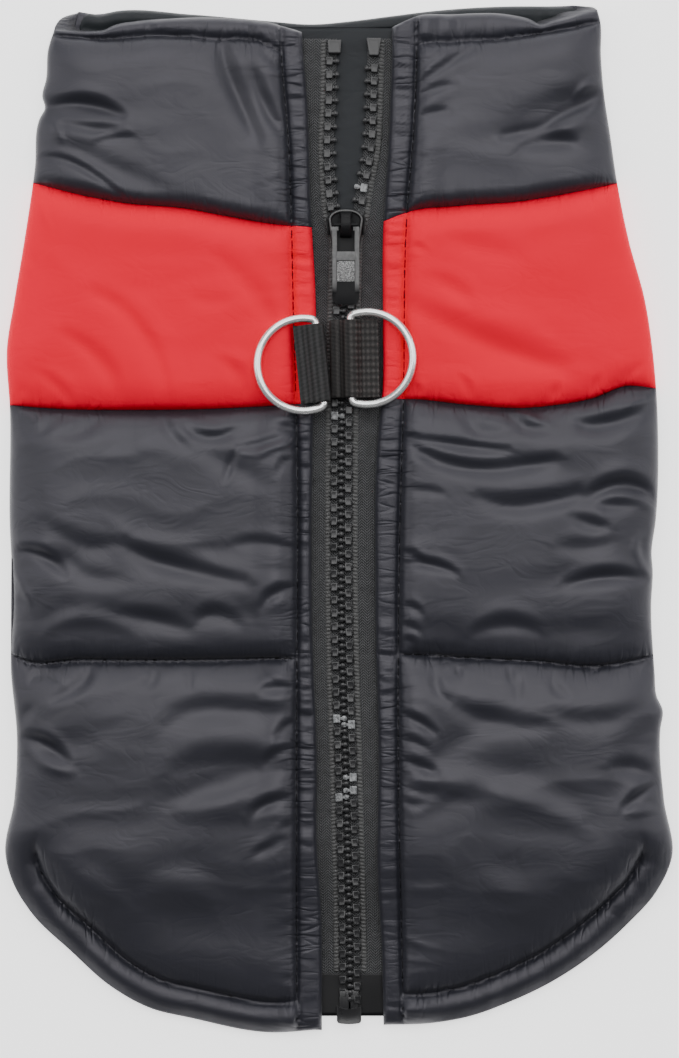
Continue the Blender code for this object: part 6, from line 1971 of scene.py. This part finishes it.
# %% The sewn lines
def sewn_lines(side):
    """Lines with the panel that they lie on: beside the zip, across, and round the edges."""
    reach = side * np.arange(4.5, 77.0, 0.5)
    lines = []
    parts = (("collar", COLLAR_MARGIN_SEAM, COLLAR_SEAM), ("yoke", COLLAR_SEAM, YOKE_SEAM),
             ("upper", YOKE_SEAM, QUILT_LINE), ("lower", QUILT_LINE, None))
    at = stitch_x(side, 0.0)
    for panel, top_line, low_line in parts:
        top = follow(top_line, at) - 0.6
        low = follow(low_line, at) + 0.6 if low_line else -124.5
        lines.append((panel, *on_line(PLACKET_STITCH[side], np.arange(top, low, -0.5)).T))
    x = stitch_x(side, -36.0) + reach - side * 3.5
    quilt = x[np.abs(x) < np.abs(side_height(side, -36.0)) - 3.0]
    lines.append(("lower", quilt, follow(QUILT_LINE, quilt) - 0.05))
    x = stitch_x(side, 123.0) + reach - side * 4.0
    margin = x[np.abs(x) < np.abs(side_height(side, 126.0)) - 1.0]
    lines.append(("collar", margin, follow(COLLAR_MARGIN_SEAM, margin)))
    path = PATHS[side]
    inward = inward_normals(side, path[:, 0], path[:, 1])
    hem = (path + inward * HEM_MARGIN)[path[:, 1] < -86.0]
    hem = hem[np.abs(hem[:, 0]) > np.abs(stitch_x(side, hem[:, 1])) + 1.0]
    lines.append(("lower", hem[:, 0], hem[:, 1]))
    return lines


THREAD = sewing_thread()
for side, word in SIDE_NAMES.items():
    for number, (panel, x, y) in enumerate(sewn_lines(side)):
        line = np.stack([x, y, near_outer(side, panel, x, y)], axis=1)
        row = stitch_row(f"stitches_{word}_{number}", line, THREAD)
    print(row.name, "is the last row of the", word, "side")

# %% [markdown]
# ## Floor, light and camera
# The coat lies on a plain white floor. A wide soft light hangs above and towards the collar, and weaker
# ones stand behind it and at both sides, so that only the slopes that face the hem stay dark. The camera
# looks straight down from about arm's length.

# %% The floor
FLOOR_GLOW = 1.5
only()
bpy.ops.mesh.primitive_plane_add(size=8.0, location=(0.0, 0.0, -0.0002))
floor = bpy.context.object
floor.name = "floor"
floor_material, place = finish("floor_white")
set_shader(floor_material, Base_Color=place.noise(3.0).blend((0.88, 0.88, 0.88), (0.90, 0.90, 0.90)),
           Roughness=0.9, Emission_Color=(1.0, 1.0, 1.0), Emission_Strength=FLOOR_GLOW)
floor.data.materials.append(floor_material)
floor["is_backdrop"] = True

# %% Light
SOFTBOXES = {               # size, place and power
    "key": ((1.5, 1.2), (0.0, 0.57, 1.37), 19.0),
    "back": ((2.0, 0.9), (0.0, 1.7, 0.6), 13.0),
    "left": ((1.0, 1.2), (-1.35, 0.3, 0.8), 8.0),
    "right": ((1.0, 1.2), (1.35, 0.3, 0.8), 8.0),
}
WORLD_GREY = 0.14


def soft_light(name, size, place, power):
    lamp = bpy.data.lights.new(name, "AREA")
    lamp.shape, lamp.energy = "RECTANGLE", power
    lamp.size, lamp.size_y = size
    thing = bpy.data.objects.new(name, lamp)
    thing.location = place
    thing.rotation_euler = (-Vector(place)).to_track_quat("-Z", "Y").to_euler()
    bpy.context.scene.collection.objects.link(thing)


for word, setting in SOFTBOXES.items():
    soft_light(f"{word}_softbox", *setting)
world = bpy.context.scene.world or bpy.data.worlds.new("studio")
bpy.context.scene.world = world
world.use_nodes = True
sky = world.node_tree.nodes["Background"].inputs
sky["Color"].default_value = (1.0, 1.0, 1.0, 1.0)
sky["Strength"].default_value = WORLD_GREY

# %% Camera
CAMERA_HEIGHT, SCALE_PLANE = 1.10, 0.008     # the second is where the view has its measured size
VIEW_HEIGHT, VIEW_MIDDLE = 0.2748, (0.00026, -0.00234)

lens = bpy.data.cameras.new("camera")
lens.sensor_fit, lens.clip_start = "VERTICAL", 0.05
lens.angle = 2 * math.atan(VIEW_HEIGHT / 2 / (CAMERA_HEIGHT - SCALE_PLANE))
camera = bpy.data.objects.new("camera", lens)
camera.location = (*VIEW_MIDDLE, CAMERA_HEIGHT)
bpy.context.scene.collection.objects.link(camera)
bpy.context.scene.camera = camera

# %% Sizes of both models, and the end
visual_box = [[float(value) for value in corner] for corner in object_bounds()]
print("visual box, mm:", [[round(value * 1000, 1) for value in corner] for corner in visual_box])
